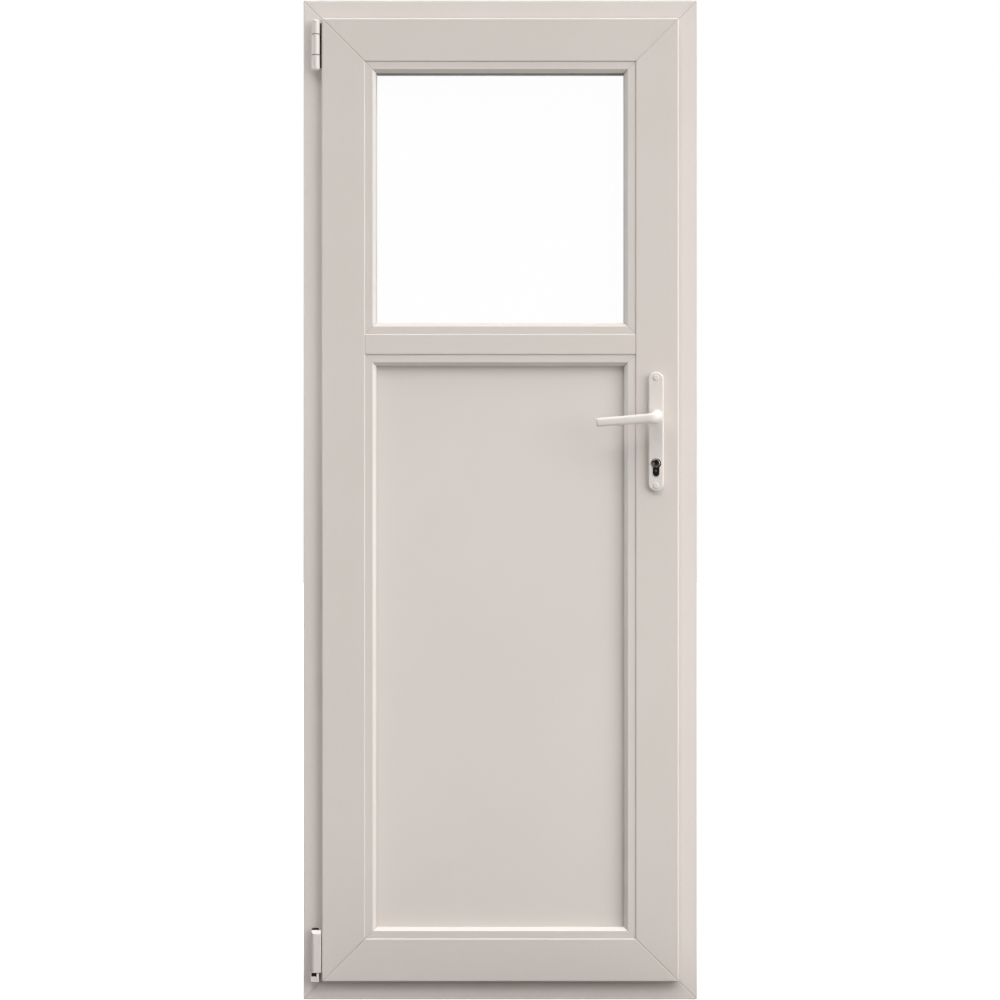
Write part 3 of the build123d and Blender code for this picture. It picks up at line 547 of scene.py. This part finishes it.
def darkMetal(name):
    # dark oxidised brass: turned rings about the cylinder's axis, rubbed spots
    paint, look = Paint(bpy.data.materials.new(name)), darkLook
    cylinder = middleOf("inside_cylinder_plug")
    across, up = paint.x - float(cylinder[0]), paint.z - float(cylinder[2])
    radius = (across * across + up * up) ** 0.5
    spread = paint.node("ShaderNodeCombineXYZ", {}, {0: radius * look["ringsPerMetre"]})
    rings = paint.noise(*look["ringNoise"], spread)
    rub = paint.fade(paint.noise(*look["rubNoise"]), *look["rubFade"])
    worn = rub * look["rubbing"] + paint.fade(rings, *look["ringFade"]) * look["turning"]
    tone = paint.blend(worn, look["colour"], look["worn"])
    rough = look["rough"] + rings.swing(look["ringRough"])
    return paint.finish({"Base Color": tone, "Roughness": rough, "Metallic": look["metal"],
                         "Normal": paint.bump(rings, *look["bump"])})


polishedLook = {
    "colour": (0.55, 0.53, 0.50), "shade": (0.12, 0.115, 0.11), "rough": 0.16, "metal": 0.9,
    "wornNoise": (380, 4, 0.6), "wornFade": (0.35, 0.65), "wornRough": 0.15, "bump": (0.1, 0.2 * mm),
}


def polishedMetal(name):
    # rubbed dark metal, brighter where keys have worn it
    paint, look = Paint(bpy.data.materials.new(name)), polishedLook
    worn = paint.noise(*look["wornNoise"])
    tone = paint.blend(paint.fade(worn, *look["wornFade"]), look["shade"], look["colour"])
    return paint.finish({"Base Color": tone, "Roughness": look["rough"] + worn.swing(look["wornRough"]),
                         "Metallic": look["metal"], "Normal": paint.bump(worn, *look["bump"])})


rubberLook = {
    "colour": (0.48, 0.46, 0.44), "shade": (0.38, 0.365, 0.35), "rough": 0.62,
    "dustNoise": (60, 5, 0.6), "grainNoise": (2400, 2), "dustRough": 0.2, "bump": (0.1, 0.4 * mm),
}


def sealRubber(name):
    # light grey seal rubber: dusty, fine grain
    paint, look = Paint(bpy.data.materials.new(name)), rubberLook
    dust = paint.noise(*look["dustNoise"])
    grain = paint.noise(*look["grainNoise"])
    tone = paint.blend(dust, look["shade"], look["colour"])
    return paint.finish({"Base Color": tone, "Roughness": look["rough"] + dust.swing(look["dustRough"]),
                         "Normal": paint.bump(grain, *look["bump"])})


spacerLook = {
    "colour": (0.66, 0.67, 0.68), "holeShade": (0.03, 0.03, 0.03), "rough": 0.32, "metal": 0.9,
    "pitch": 6 * mm, "hole": 0.7 * mm, "core": 0.6, "row": 3 * mm,
    "rollNoise": (1.0, 3, 0.6), "rollStretch": (700, 4000, 700), "rollRough": 0.2, "bump": (0.1, 0.4 * mm),
}


def spacerMetal(name):
    # mill aluminium with two rows of breathing holes along each side, painted dark as the shade inside them
    paint, look = Paint(bpy.data.materials.new(name)), spacerLook
    roll = paint.noise(*look["rollNoise"], paint.stretched(paint.object, look["rollStretch"]))
    row = abs(abs(paint.y - float(middleOf("glass_spacer")[1])) - look["row"])
    step = (paint.x + paint.z) / look["pitch"]
    along = abs(step.maths("FRACT", step) - 0.5)
    away = (row * row + (along * along) * look["pitch"] ** 2) ** 0.5
    hole = paint.fade(away, look["hole"], look["hole"] * look["core"])
    tone = paint.blend(hole, look["colour"], look["holeShade"])
    return paint.finish({"Base Color": tone, "Roughness": look["rough"] + roll.swing(look["rollRough"]),
                         "Metallic": look["metal"], "Normal": paint.bump(roll - hole, *look["bump"])})


glassLook = {
    "tint": (0.93, 0.97, 0.95), "edge": (0.45, 0.68, 0.6), "edgeWidth": 1.2 * mm, "edgeAlpha": 0.5,
    "filmNoise": (5, 5, 0.6), "film": 0.008, "filmLeast": 0.6, "filmSpread": 0.8,
    "rough": 0.03, "filmRough": 0.03, "ior": 1.5,
}


def clearGlass(name):
    # clear pane: mostly see-through, a thin uneven film, green-tinged towards its edges
    paint, look = Paint(bpy.data.materials.new(name)), glassLook
    low, high = spanOf("glass_inner_pane")
    half, centre = (high - low) / 2, (high + low) / 2
    toSide = float(half[0]) - abs(paint.x - float(centre[0]))
    toEnd = float(half[2]) - abs(paint.z - float(centre[2]))
    edge = paint.fade(toSide.least(toEnd), look["edgeWidth"], 0.0)
    film = paint.noise(*look["filmNoise"])
    tone = paint.blend(edge, look["tint"], look["edge"])
    alpha = look["film"] * (look["filmLeast"] + film * look["filmSpread"]) + edge * look["edgeAlpha"]
    return paint.finish({"Base Color": tone, "Roughness": look["rough"] + film * look["filmRough"],
                         "Alpha": alpha, "IOR": look["ior"]})


coats = {name: powderCoat("coated_" + name, look) for name, look in powderLooks.items()}
finishes = {slot: plasticProfile(slot, look) for slot, look in whitePlastic.items()}
finishes.update({
    "panel_pvc": panelSkin("panel_pvc"), "coated_metal": coats["plate"],
    "lock_steel": zincSteel("lock_steel"), "dark_metal": darkMetal("dark_metal"),
    "gasket": sealRubber("gasket"),
    "spacer_aluminium": spacerMetal("spacer_aluminium"), "glass": clearGlass("glass"),
})
polished = polishedMetal("polished_metal")
for subpart in frame["record"]["subparts"]:
    for holder in frame["nodes"][subpart["node"]].material_slots:
        holder.material = finishes[subpart["material_slot"]]
for node, coat in (("top_hinge_frame_bracket", "topHinge"), ("top_hinge_leaf_knuckle", "topHinge"),
                   ("bottom_hinge_bearing", "bottomHinge"), ("bottom_hinge_leaf_sleeve", "bottomHinge")):
    for holder in frame["nodes"][node].material_slots:
        holder.material = coats[coat]
print("finishes:", len(finishes))


# frame bars

frameProfile = {
    "section": [(0, 0, 1.5), (0, 44.5, 2), (6, 44.5, 0), (6, 42, 0), (22, 42, 0), (22, 44.5, 0),
                (51, 44.5, 0), (51, 56.5, 0), (55, 56.5, 0), (55, 60.5, 0), (51, 60.5, 0),
                (51, 61.5, 0), (70, 61.5, 3),
                (70, 0, 1.5), (58, 0, 0), (58, 5, 0), (52, 5, 0), (52, 0, 0),
                (18, 0, 0), (18, 5, 0), (12, 5, 0), (12, 0, 0)],
    "seam": {"sink": 0.9, "width": 1.7},
    "pocketGap": 0.3 * mm, "pocketDepth": 20 * mm,
    "drain": {"length": 28, "height": 5, "rise": 24, "spacing": 460, "depth": 8, "endPoints": 13},
}


def boltPockets(start, end):
    # boxes round the latch and the dead bolt, along X, with room to move
    gap = frameProfile["pocketGap"]
    for bolt in ("latch_bolt", "dead_bolt"):
        low, high = spanOf(bolt)
        yield prism(boxOutline(low[1:] - gap, high[1:] + gap), 0, start, end)


def drainSlots():
    # round-ended slots in the sill's outer face
    drain = frameProfile["drain"]
    half, end = (drain["length"] - drain["height"]) / 2, drain["height"] / 2
    angle = np.linspace(-math.pi / 2, math.pi / 2, drain["endPoints"])
    cap = np.stack([half + end * np.cos(angle), end * np.sin(angle)], axis=1)
    outline = np.concatenate([cap, -cap]) * mm
    back = frameHigh[1]
    for side in (-1, 1):
        place = np.array([side * drain["spacing"] / 2, drain["rise"]]) * mm
        yield prism(outline + place, 1, back - drain["depth"] * mm, back + overcut)


frameShells = mitredBars(frameProfile["section"], frameRect, frameLow[1], frameProfile["seam"])
strikeBack = spanOf("strike_plate")[1][0]
frameCuts = {"right": list(boltPockets(strikeBack - overcut, strikeBack + frameProfile["pocketDepth"])),
             "bottom": list(drainSlots())}
for side, node in frameBars.items():
    addPiece(node + "_bar", [frameShells[side]], "frame", "frame_pvc", [node], frameCuts.get(side, ()))
print("frame bars done")


# leaf bars

leafProfile = {
    "section": [(0, 0, 3.5), (0, 86.5, 3), (45, 86.5, 0), (45, 108, 0.8), (51, 108, 2), (62, 100, 2),
                (62, 20, 2), (38, 20, 0), (38, 24, 0), (22, 24, 0), (22, 20, 0), (11, 20, 0),
                (11, 8, 0), (7, 8, 0), (7, 4, 0), (11, 4, 0), (11, 0, 1)],
    "seam": {"sink": 0.9, "width": 1.7},
    "spindleHole": 9 * mm, "cylinderGap": 0.3 * mm, "boltGap": 0.2 * mm,
    "cylinder": {"stem": 5 * mm, "headPoints": 33, "footPoints": 17},
    "keyhole": {"gap": 1.6 * mm, "drop": 1.0 * mm, "depth": 12 * mm},
}


def cylinderShape(grow):
    # the lock cylinder's outline: a round head as wide as its CAD box, on a narrower round-ended stem
    low, high = spanOf("lock_cylinder")
    look = leafProfile["cylinder"]
    head = (high[0] - low[0]) / 2 + grow
    stem = look["stem"] + grow
    centreX, headZ, footZ = (low[0] + high[0]) / 2, high[2] + grow - head, low[2] - grow + stem
    meet = math.asin(stem / head)
    upper = np.linspace(-math.pi / 2 + meet, 1.5 * math.pi - meet, look["headPoints"])
    lower = np.linspace(-math.pi, 0, look["footPoints"])
    top = np.stack([head * np.cos(upper), headZ + head * np.sin(upper)], axis=1)
    foot = np.stack([stem * np.cos(lower), footZ + stem * np.sin(lower)], axis=1)
    return np.concatenate([top, foot]) + np.array([centreX, 0])


def cylinderCuts(front, back):
    # a close fit in the middle of the leaf, and a wider hole set a little lower behind each face
    keyhole, close = leafProfile["keyhole"], cylinderShape(leafProfile["cylinderGap"])
    wide = cylinderShape(keyhole["gap"]) - np.array([0, keyhole["drop"]])
    yield prism(close, 1, front + keyhole["depth"], back - keyhole["depth"])
    yield prism(wide, 1, front, front + keyhole["depth"] + overcut)
    yield prism(wide, 1, back - keyhole["depth"] - overcut, back)


leafShells = mitredBars(leafProfile["section"], leafRect, leafFaceY, leafProfile["seam"])
lockEdge = spanOf("lock_faceplate")[0][0]
boltBack = spanOf("latch_bolt")[0][0]
through = (leafFaceY - overcut, leafBackY + overcut)
leafCuts = {"right": [prism(circleOutline(spindleAt[[0, 2]], leafProfile["spindleHole"]), 1, *through),
                      *cylinderCuts(*through),
                      *boltPockets(boltBack - leafProfile["boltGap"], lockEdge + overcut)]}
for side, node in leafBars.items():
    addPiece(node + "_bar", [leafShells[side]], "leaf", "leaf_pvc", [node], leafCuts.get(side, ()))

midRail = {
    "web": [(0, -21, 3), (0, 21, 3), (46, 21, 0), (46, -21, 0)],
    "wings": [(45, -42.5, 0.8), (45, 42.5, 0.8), (51, 42.5, 2),
              (62, 34.5, 2), (62, -34.5, 2), (51, -42.5, 2)],
    "wingEnd": ([45, 51, 62], [245.5, 245.5, 253.5]),  # depth, half length: follows the stiles' slope
}
railAt = middleOf("leaf_mid_rail")[2]
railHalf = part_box("leaf_mid_rail")[1][0]
addPiece("leaf_mid_rail_bar", [
    straightBar(midRail["web"], railAt, leafFaceY, lambda depth: np.full_like(depth, railHalf)),
    straightBar(midRail["wings"], railAt, leafFaceY,
                lambda depth: np.interp(depth, *midRail["wingEnd"]) * mm),
], "leaf", "leaf_pvc", ["leaf_mid_rail"])
print("leaf bars done")


# beads and seals

bead = {
    "section": [(2, 0, 0.6), (2, 14.5, 1.2), (9, 21.5, 1), (14, 21.5, 0), (14, 0, 0)],
    "seam": {"sink": 0.4, "width": 0.7},
}
for kind in ("glass", "panel"):
    shells = mitredBars(bead["section"], openingRect(kind), leafFaceY, bead["seam"])
    for side, word in beadSides.items():
        node = f"{kind}_bead_{word}"
        addPiece(node + "_strip", [shells[side]], "leaf", "bead_pvc", [node])

seals = {
    "frame": [(55, 56.6, 0), (55, 60.4, 0), (46.5, 60.4, 1.7), (46.5, 56.6, 1.7)],
    "leaf": [(7, 4.1, 0), (7, 7.9, 0), (15.5, 7.9, 1.7), (15.5, 4.1, 1.7)],
    "bedding": [[(14, 13.5, 0), (14, 20.5, 0), (17, 20.5, 1.2), (17, 13.5, 0)],
                [(41, 13.5, 0), (41, 20.5, 1.2), (45, 20.5, 1.2), (45, 13.5, 0)]],
    "seam": {"sink": 0.1, "width": 0.3},
}


def sealRing(section, rect, faceY):
    # the four mitred sides of one seal
    return list(mitredBars(section, rect, faceY, seals["seam"]).values())


addPiece("frame_seal", sealRing(seals["frame"], frameRect, frameLow[1]), "frame", "gasket", ["frame_gasket"])
addPiece("leaf_seal", sealRing(seals["leaf"], leafRect, leafFaceY), "leaf", "gasket", ["leaf_gasket"])
for kind in ("glass", "panel"):
    rings = []
    for section in seals["bedding"]:
        rings += sealRing(section, openingRect(kind), leafFaceY)
    addPiece(kind + "_bedding", rings, "leaf", "gasket", [kind + "_gaskets"])
print("beads and seals done")


# levers

lever = {
    "length": 120.5, "reach": 46.0, "bend": 18.0, "droop": 4.6, "drop": 3.5, "gap": 0.5,
    # half height, half depth and squareness
    "neck": (12.0, 12.0, 2.0), "root": (9.7, 7.2, 2.7), "tip": (8.6, 5.5, 3.0),
    # the neck swells in front of the plate, between these distances from the leaf
    "swell": 1.7, "swellFrom": 9.0, "swellTo": 20.0,
    "tipRound": 4.0, "around": 64, "rings": {"neck": 12, "bend": 18, "blade": 20, "tip": 9}, "crease": 50,
}


def columns(*values):
    # values side by side, a single number repeated down its column
    return np.stack(np.broadcast_arrays(*values), axis=1)


def leverShell(look):
    # rings of a superellipse along neck, quarter bend and blade; the neck's section eases into the root's
    # with the sine squared of the bend, and the tip's rings shrink on a quarter circle; the neck's swelling
    # is 3 r^2 - 2 r^3 of its rise r, then fades round the bend with the cosine squared
    reach, bend, end, rings = look["reach"], look["bend"], look["tipRound"], look["rings"]
    neckAt = np.linspace(-look["gap"], bend - reach, rings["neck"])
    rise = np.clip((-neckAt - look["swellFrom"]) / (look["swellTo"] - look["swellFrom"]), 0, 1)
    swelling = look["swell"] * rise ** 2 * (3 - 2 * rise)
    turn = np.linspace(0, math.pi / 2, rings["bend"])[1:]
    share = np.linspace(0, 1, rings["blade"])[1:]
    close = np.linspace(0, math.pi / 2, rings["tip"])[1:]
    bladeX = -bend - (look["length"] - end - bend) * share
    stages = [
        columns(0, neckAt, 0, 0, 0, -swelling),
        columns(bend * (np.cos(turn) - 1), bend * (1 - np.sin(turn)) - reach, turn, np.sin(turn) ** 2, 0,
                -look["swell"] * np.cos(turn) ** 2),
        columns(bladeX, -reach, math.pi / 2, 1, share, 0),
        columns(bladeX[-1] - end * np.sin(close), -reach, math.pi / 2, 1, 1, end * (1 - np.cos(close))),
    ]
    pathX, pathY, lean, ease, taper, shrink = np.concatenate(stages).T[..., None]
    neck, root, tip = (np.array(look[key]) for key in ("neck", "root", "tip"))
    halfUp, halfOut, square = np.split(neck + (root - neck) * ease + (tip - root) * taper, 3, axis=1)
    angle = np.linspace(0, 2 * math.pi, look["around"], endpoint=False)
    sine, cosine = np.sin(angle), np.cos(angle)
    up = np.sign(sine) * np.abs(sine) ** (2 / square) * (halfUp - shrink) - look["drop"] * ease
    out = np.sign(cosine) * np.abs(cosine) ** (2 / square) * (halfOut - shrink)
    x, y = pathX + out * np.cos(lean), pathY - out * np.sin(lean)
    tilt = math.radians(look["droop"])
    tiltedX = x * math.cos(tilt) - up * math.sin(tilt)
    tiltedZ = x * math.sin(tilt) + up * math.cos(tilt)
    steps = np.hypot(np.diff(pathX, axis=0), np.diff(pathY, axis=0))
    along = np.vstack([[[0]], np.cumsum(steps, axis=0)])
    uv = np.stack(np.broadcast_arrays(along * mm, angle * uvRadius), axis=-1)
    return np.stack([tiltedX, y, tiltedZ], axis=-1) * mm, uv


leverRings, leverUv = leverShell(lever)
for side, faceY, way in (("inside", leafFaceY, 1), ("outside", leafBackY, -1)):
    placed = leverRings * np.array([1, way, 1]) + np.array([spindleAt[0], faceY, spindleAt[2]])
    arm = addPiece(side + "_lever_arm", [ringShell(placed, leverUv)], "levers", "coated_metal",
                   [side + "_lever"], crease=lever["crease"])
    arm.data.materials[0] = coats["lever"]
print("levers done")


# top hinge: two knuckles on a plate, round at the hinge's ends and nearly square at its joints

topHinge = {"radius": 8.4, "endRound": 4.5, "jointRound": 0.7, "steps": 9, "guard": 0.4, "crease": 50,
            "plate": {"thick": 2.0, "short": 6.0, "pastIntoShade": 5.0}, "web": 5.9, "webFrom": 2.0}


def knuckleProfile(height, endRound, jointRound):
    # radius and height from the joint up to the free end: a quarter circle at each, straight between,
    # with a guard point beside each arc
    angle = np.linspace(0, math.pi / 2, topHinge["steps"])
    radius = topHinge["radius"]
    joint = columns(radius - jointRound * (1 - np.sin(angle)), jointRound * (1 - np.cos(angle)))
    end = columns(radius - endRound * (1 - np.cos(angle)), height - endRound * (1 - np.sin(angle)))
    guard = np.array([0, topHinge["guard"]])
    middle = [joint[-1] + guard, end[0] - guard]
    return np.concatenate([joint, middle, end])


def addTopHinge():
    # the upper and lower knuckle with a web behind each, and the plate that carries both
    low, high = spanOf("top_hinge_frame_bracket")
    axis = middleOf("top_hinge_pin")
    plate, web = topHinge["plate"], topHinge["web"] * mm
    shells = []
    spans = ((knuckleHigh[2] + knuckleGap, high[2], 1), (knuckleLow[2] - knuckleGap, low[2], -1))
    for start, end, way in spans:
        profile = knuckleProfile(abs(end - start) / mm, topHinge["endRound"], topHinge["jointRound"])
        shells.append(turned(profile, (axis[0], axis[1], start), 2, way))
        heights = sorted((start + way * topHinge["webFrom"] * mm, end - way * plate["short"] * mm))
        shells.append(prism(boxOutline((axis[0] - web, axis[1]), (axis[0] + web, high[1])), 2, *heights))
    # the plate runs on past the bracket into the gap by the leaf, where the coat's painted shade makes it
    # nearly black
    back = boxOutline((low[0], high[1] - plate["thick"] * mm), (high[0] + plate["pastIntoShade"] * mm, high[1]))
    shells.append(prism(back, 2, low[2] + plate["short"] * mm, high[2] - plate["short"] * mm))
    bracket = addPiece("top_hinge_frame_knuckles", shells, "frame", "coated_metal",
                       ["top_hinge_frame_bracket"], crease=topHinge["crease"])
    bracket.data.materials[0] = coats["topHinge"]


addTopHinge()
print("top hinge done")


# handle set: screw caps, a rim round each keyhole, and on the cylinder's ends a ring and a pin

handleSet = {
    # radius and rise, and for the rim how far it is grown from the cylinder's outline and its rise
    "cap": [(0.05, 1.7), (4.0, 1.7), (4.4, 1.68), (5.2, 1.4), (5.7, 0.9), (5.9, 0.3), (5.9, 0)],
    "rim": [(3.1, 0), (2.95, 0.35), (2.5, 0.65), (2.0, 0.65), (1.65, 0.3), (1.6, -0.6), (3.1, 0)],
    "ring": [(8.4, 0), (8.3, 0.15), (6.75, 1.1), (6.6, 1.15), (6.55, 0), (8.4, 0)],
    "pin": {"profile": [(0.05, 0.6), (0.6, 0.5), (1.0, 0.25), (1.2, 0)], "drop": 15.5 * mm},
    "crease": {"cap": 50, "rim": 60, "trim": 25},
}


def keyholeRim(faceY, way):
    # the cylinder's outline grown step by step, each step at its own height over the plate
    drop = np.array([0, leafProfile["keyhole"]["drop"]])
    loops = [cylinderShape(grow * mm) - drop for grow, _ in handleSet["rim"]]
    rings = np.stack([np.insert(loop, 1, faceY + way * rise * mm, axis=1)
                      for loop, (_, rise) in zip(loops, handleSet["rim"])])
    return ringShell(rings, rings[..., [0, 2]], capped=False)


capLow, capHigh = spanOf("inside_screw_caps")
capX, capRadius = (capLow[0] + capHigh[0]) / 2, (capHigh[0] - capLow[0]) / 2
addPiece("inside_screw_cap_pair", [turned(handleSet["cap"], (capX, capHigh[1], height), 1, -1)
                                   for height in (capLow[2] + capRadius, capHigh[2] - capRadius)],
         "leaf", "coated_metal", ["inside_screw_caps"], crease=handleSet["crease"]["cap"])
cylinderLow, cylinderHigh = spanOf("lock_cylinder")
for side, cylinderY, way in (("inside", cylinderLow[1], -1), ("outside", cylinderHigh[1], 1)):
    plateLow, plateHigh = spanOf(side + "_handle_plate")
    addPiece(side + "_keyhole_rim", [keyholeRim(plateLow[1] if way < 0 else plateHigh[1], way)],
             "leaf", "coated_metal", crease=handleSet["crease"]["rim"])
    headX, _, headZ = middleOf(side + "_cylinder_plug")
    ring = turned(handleSet["ring"], (headX, cylinderY, headZ), 1, way, capped=False)
    pin = turned(handleSet["pin"]["profile"], (headX, cylinderY, headZ - handleSet["pin"]["drop"]), 1, way)
    trim = addPiece(side + "_cylinder_trim", [ring, pin], "leaf", "dark_metal",
                    crease=handleSet["crease"]["trim"])
    trim.data.materials[0] = polished
print("handle set done")


# screws of the lock's faceplate and of the strike plate

screw = {
    # radius and height, from the crown to the underside
    "profile": [(0.05, 0.5), (2.0, 0.45), (3.0, 0.25), (3.6, -0.1), (3.6, -0.6), (0.05, -0.6)],
    "recess": {"half": 1.9 * mm, "arm": 0.45 * mm, "depth": 0.35 * mm}, "fromEnd": 9 * mm, "around": 44,
}


def crossOutline(centre, half, arm):
    # a plus sign: one quarter's three corners, turned four times
    quarter = np.array([(half, -arm), (half, arm), (arm, arm)])
    turns = [quarter, quarter[:, ::-1] * (-1, 1), -quarter, quarter[:, ::-1] * (1, -1)]
    return np.concatenate(turns) + np.array(centre)


def addScrews(name, plate, body, way):
    # a domed head near each end of a plate, on its face towards way along X
    low, high = spanOf(plate)
    faceX, middleY = (high[0] if way > 0 else low[0]), (low[1] + high[1]) / 2
    recess, crown = screw["recess"], screw["profile"][0][1] * mm
    heads, cuts = [], []
    for height in (low[2] + screw["fromEnd"], high[2] - screw["fromEnd"]):
        heads.append(turned(screw["profile"], (faceX, middleY, height), 0, way, screw["around"]))
        cross = crossOutline((middleY, height), recess["half"], recess["arm"])
        floor = faceX + way * (crown - recess["depth"])
        cuts.append(prism(cross, 0, floor, faceX + way * overcut))
    addPiece(name, heads, body, "lock_steel", cuts=cuts)


addScrews("lock_faceplate_screws", "lock_faceplate", "leaf", 1)
addScrews("strike_plate_screws", "strike_plate", "frame", -1)
print("screws done")


# stage, light and camera

stageLook = {
    # the floor's dark zone by the door is a painted shadow
    "floor": {"shadedNear": (0.06, 0.057, 0.054), "far": (0.31, 0.31, 0.30), "fade": (0.25, 0.8), "rough": 0.7,
              "edgeNoise": (30, 3), "uneven": 0.05, "glow": 1.0, "half": 30},
    "world": {"sky": 0.01, "right": 4.2, "left": 3.6, "top": 0.04, "back": 0.75, "falloff": 55,
              "skyFade": (-0.1, 0.3), "backFade": (0.15, 0.6), "colour": (0.95, 0.995, 1.06)},
    "suns": {"right": {"from": (0.78, -0.54, 0.32), "spread": 50, "power": 1.6},
             "top": {"from": (0.1, -0.3, 0.95), "spread": 64, "power": 2.2},
             "left": {"from": (-0.32, -0.52, 0.79), "spread": 36, "power": 0.55}},
    "softboxes": {"corner": {"at": (-0.64, -0.058, 1.5), "aim": (-0.35, -0.045, 1.5), "size": (0.05, 0.9),
                             "power": 0.5},
                  "strip": {"at": (1.7, -0.75, 1.1), "aim": (0.2, -0.05, 1.1), "size": (0.5, 2.4),
                            "power": 5.9}},
    "lampColour": (1.0, 0.993, 0.985), "sunsAt": (0, -3, 3),
}


def addFloor():
    # a wide floor with a painted shadow, dark by the door and pale further out; to the camera it glows up to
    # white
    look = stageLook["floor"]
    corners = boxOutline((-look["half"], -look["half"]), (look["half"], look["half"]))
    mesh = bpy.data.meshes.new("floor")
    mesh.from_pydata(np.column_stack([corners, np.zeros(len(corners))]).tolist(), [], [(0, 1, 2, 3)])
    floor = bpy.data.objects.new("floor", mesh)
    bpy.context.scene.collection.objects.link(floor)
    paint = Paint(bpy.data.materials.new("floor"))
    seen = paint.node("ShaderNodeLightPath", {}, {}, "Is Camera Ray")
    away = (paint.x * paint.x + paint.y * paint.y) ** 0.5
    away = away + paint.noise(*look["edgeNoise"]) * look["uneven"]
    shade = paint.blend(paint.fade(away, *look["fade"]), look["shadedNear"], look["far"])
    glow = paint.blend(seen, (0, 0, 0), (1, 1, 1))
    mesh.materials.append(paint.finish({"Base Color": shade, "Roughness": look["rough"],
                                        "Emission Color": glow, "Emission Strength": look["glow"]}))


def addWorld():
    # the camera sees white; the rest is lit by a surround that glows towards the right, left and top,
    # each by its strength times the cosine to the power of falloff, faintly over the whole sky,
    # and evenly from behind the door
    paint = Paint(bpy.data.worlds.new("studio"), "ShaderNodeOutputWorld", "Generated")
    look = stageLook["world"]
    level = paint.fade(paint.z, *look["skyFade"]) * look["sky"]
    for axis, strength in ((paint.x, look["right"]), (0 - paint.x, look["left"]), (paint.z, look["top"])):
        level = level + axis.most(0) ** look["falloff"] * strength
    level = level + paint.fade(paint.y, *look["backFade"]) * look["back"]
    seen = paint.node("ShaderNodeLightPath", {}, {}, "Is Camera Ray")
    around = paint.node("ShaderNodeBackground", {}, {"Color": (*look["colour"], 1), "Strength": level})
    behind = paint.node("ShaderNodeBackground", {}, {"Color": (1, 1, 1, 1)})
    either = paint.node("ShaderNodeMixShader", {}, {0: seen, 1: around, 2: behind})
    bpy.context.scene.world = paint.shown(either)


def addLamp(name, lamp, place, towards):
    # a lamp at a place, pointing along a direction
    light = bpy.data.objects.new(name, lamp)
    light.location = place
    light.rotation_euler = Vector(towards).to_track_quat("-Z", "Y").to_euler()
    bpy.context.scene.collection.objects.link(light)


def addLights():
    # three broad suns, the strongest from above, a softbox by the hinge side and a tall one at the right
    for name, look in stageLook["suns"].items():
        sun = bpy.data.lights.new(name, "SUN")
        sun.angle = math.radians(look["spread"])
        sun.energy, sun.color = look["power"], stageLook["lampColour"]
        addLamp(name, sun, stageLook["sunsAt"], -np.array(look["from"]))
    for name, look in stageLook["softboxes"].items():
        soft = bpy.data.lights.new(name, "AREA")
        soft.shape, soft.energy, soft.color = "RECTANGLE", look["power"], stageLook["lampColour"]
        soft.size, soft.size_y = look["size"]
        addLamp(name, soft, look["at"], np.array(look["aim"]) - np.array(look["at"]))


view = {"distance": 6.0, "perPixel": 1.9827 * mm, "pixels": 1000, "sensor": 36.0, "aside": -0.0006}


def addCamera():
    # straight on; the lens makes one pixel of the photograph one step on the frame's room face
    lens = bpy.data.cameras.new("camera")
    lens.sensor_width = view["sensor"]
    lens.lens = view["sensor"] * view["distance"] / (view["perPixel"] * view["pixels"])
    camera = bpy.data.objects.new("camera", lens)
    camera.location = (view["aside"], frameLow[1] - view["distance"], (frameLow[2] + frameHigh[2]) / 2)
    camera.rotation_euler = (math.pi / 2, 0, 0)
    bpy.context.scene.collection.objects.link(camera)
    bpy.context.scene.camera = camera


addFloor()
addWorld()
addLights()
addCamera()
bpy.context.scene.view_settings.view_transform = "Standard"
print("stage done")
